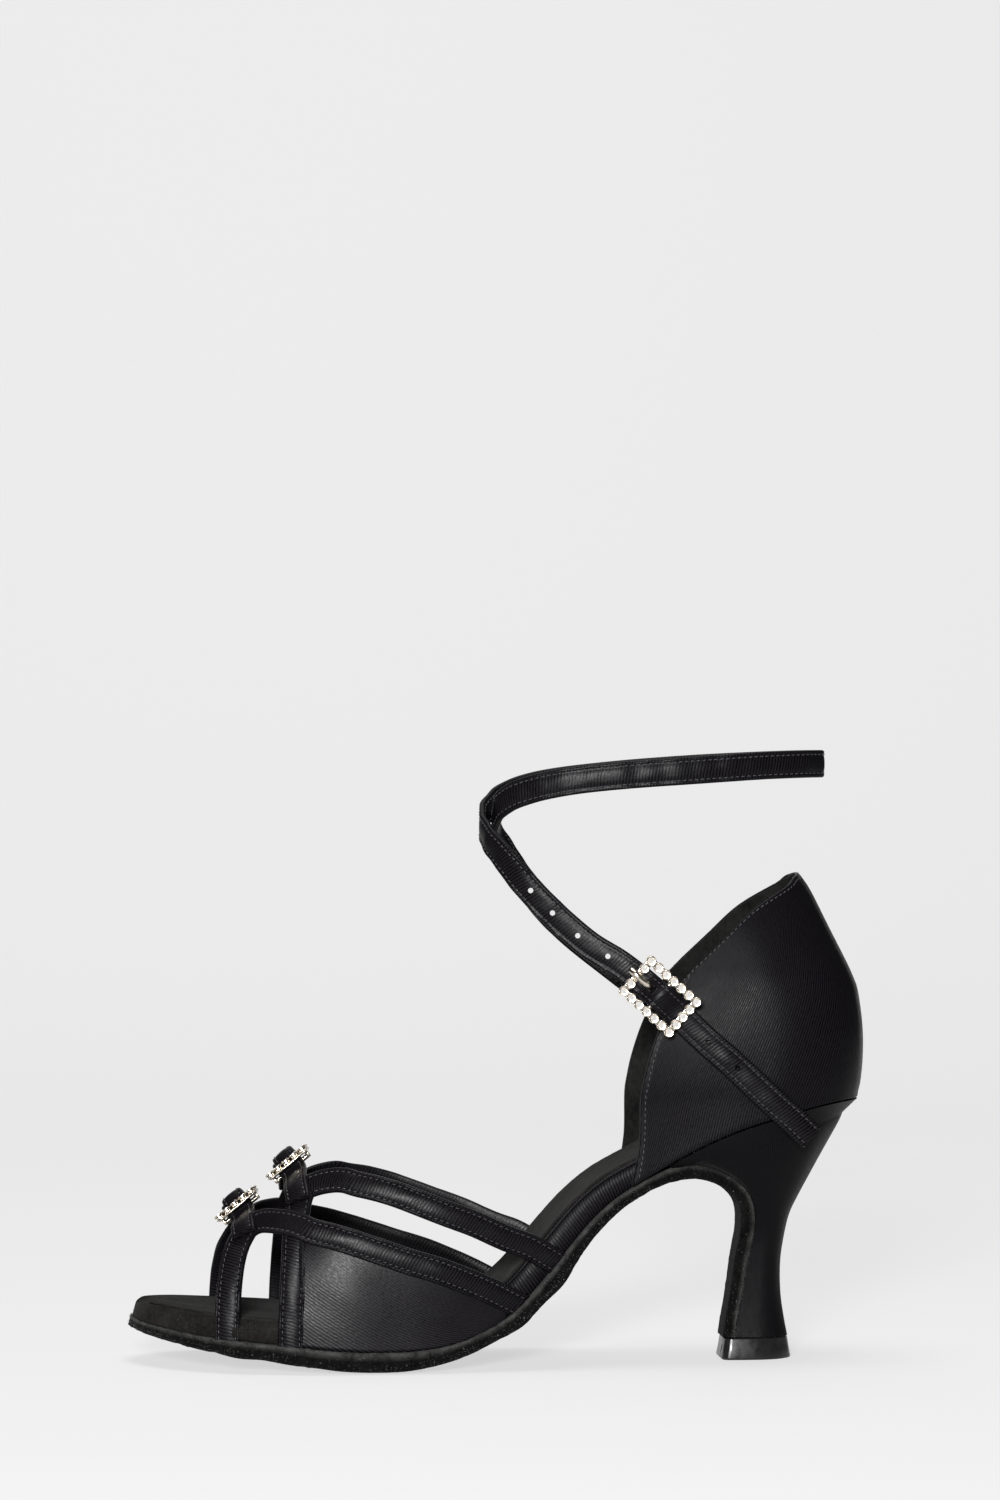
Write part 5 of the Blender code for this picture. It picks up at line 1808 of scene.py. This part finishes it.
def makeStitches():
    grain = {"segments": 8, "ring_count": 6, "radius": 1, "rotation": (0, math.pi / 2, 0)}
    stitch = addShape(bpy.ops.mesh.primitive_uv_sphere_add, **grain)
    long, wide, tall = stitchSize["long"] / 2 * mm, stitchSize["wide"] / 2 * mm, stitchSize["tall"] * mm
    stitch.data.transform(Matrix.Diagonal((long, wide, tall, 1)))
    rng = random.Random(3)
    places = []
    for place in stitchPlaces:
        lean = Matrix.Rotation(rng.gauss(0.10, 0.05), 4, "Z") @ Matrix.Rotation(rng.gauss(0, 0.03), 4, "Y")
        places.append(place @ lean @ Matrix.Scale(rng.uniform(0.92, 1.06), 4))
    print(len(places), "stitches")
    return finishPiece(scattered("stitches", stitch, places), looks["thread"], "satin")


# Stage, lights and camera.
stageSize = {
    "wide": 1.8,
    "front": -0.36,
    "bend": 1.0,
    "radius": 0.9,
    "tall": 3.4,
    "paper": (0.18, 0.18, 0.18),
    "glow": 0.61,
    "ambient": 0.05,
}


def makeStage():
    bend, radius = stageSize["bend"], stageSize["radius"]
    line = [(stageSize["front"], 0.0), (bend, 0.0)]
    for i in range(1, 13):
        turn = math.radians(90 * i / 12)
        line.append((bend + radius * math.sin(turn), radius * (1 - math.cos(turn))))
    line.append((bend + radius, stageSize["tall"]))
    loops = [[Vector((x, y, z)) for x in (-stageSize["wide"] / 2, stageSize["wide"] / 2)] for y, z in line]
    floor = loft("backdrop", loops, 60, closed=False)
    if floor.data.polygons[0].normal.z < 0:
        editMode(floor, bpy.ops.mesh.flip_normals)
    look, _, shader = newLook("backdrop", Roughness=1.0, Specular_IOR_Level=0.0)
    shader.inputs["Base Color"].default_value = (*stageSize["paper"], 1)
    shader.inputs["Emission Color"].default_value = (1, 1, 1, 1)
    shader.inputs["Emission Strength"].default_value = stageSize["glow"]
    floor.data.materials.clear()
    floor.data.materials.append(look)
    floor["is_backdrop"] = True


# Each light: name, place, the point it faces, its size and its power.
lights = (
    ("topSoftbox", (-0.1, -0.05, 1.5), (-0.07, 0.0, 0.0), (0.8, 0.6), 15),
    ("frontSoftbox", (-0.34, -1.64, 0.46), (-0.07, 0.0, 0.07), (0.28, 0.28), 50),
    ("leftSoftbox", (-0.6, -1.6, 0.25), (-0.07, 0.0, 0.06), (0.3, 0.4), 12),
    ("backdropLight", (-0.07, 0.85, 1.55), (-0.07, 1.9, 0.35), (1.8, 0.5), 13),
)


def areaLight(name, place, target, size, power):
    lamp = bpy.data.lights.new(name, "AREA")
    lamp.shape = "RECTANGLE"
    lamp.size, lamp.size_y = size
    lamp.energy = power
    thing = linked(name, lamp)
    thing.location = place
    thing.rotation_euler = (Vector(target) - Vector(place)).to_track_quat("-Z", "Y").to_euler()


def makeLights():
    for light in lights:
        areaLight(*light)
    world = bpy.data.worlds.new("studio")
    world.use_nodes = True
    back = world.node_tree.nodes["Background"]
    back.inputs["Color"].default_value = (1, 1, 1, 1)
    back.inputs["Strength"].default_value = stageSize["ambient"]
    bpy.context.scene.world = world
    bpy.context.scene.view_settings.view_transform = "Standard"


# The camera's place and turn, and its lens in mm on a frame 36 mm high.
cameraSize = {
    "place": (-0.2023, -1.5948, 0.1766),
    "towards": (0.0802, 0.9968),
    "lens": 132.4,
    "clip": (0.05, 30),
}


def makeCamera():
    lens = bpy.data.cameras.new("camera")
    lens.sensor_fit = "VERTICAL"
    lens.sensor_height = 36
    lens.lens = cameraSize["lens"]
    lens.clip_start, lens.clip_end = cameraSize["clip"]
    camera = linked("camera", lens)
    camera.location = cameraSize["place"]
    camera.rotation_euler = (math.radians(90), 0, -math.atan2(*cameraSize["towards"]))
    bpy.context.scene.camera = camera


makeOutsole()
makeFuzz()
makeInsole()
makeSock()
makePiping()
makeHeel()
makeTopLift()
print("sole and heel made")
makeCup()
cupStitches()
print("heel cup made")
makeVamp()
for name, (along, _) in bandSpots.items():
    makeBuckle("toeBuckle_" + name, bandBucklePlace(along), strapSize["thick"], "toe_buckle_" + name)
makeBuckle("ankleBuckle", buckleKnot(), ankleSize["thick"], "ankle_buckle")
makeAnkleStrap()
makeProng()
makeTab()
makeStitches()
print("straps and buckles made")
makeStage()
makeLights()
makeCamera()


def plainBounds(bounds):
    # The bounds as plain lists of numbers.
    if isinstance(bounds, dict):
        return {str(key): plainBounds(value) for key, value in bounds.items()}
    if isinstance(bounds, (list, tuple, Vector)):
        return [plainBounds(value) for value in bounds]
    return float(bounds)


{"cad": plainBounds(cadBounds), "scene": plainBounds(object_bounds())}
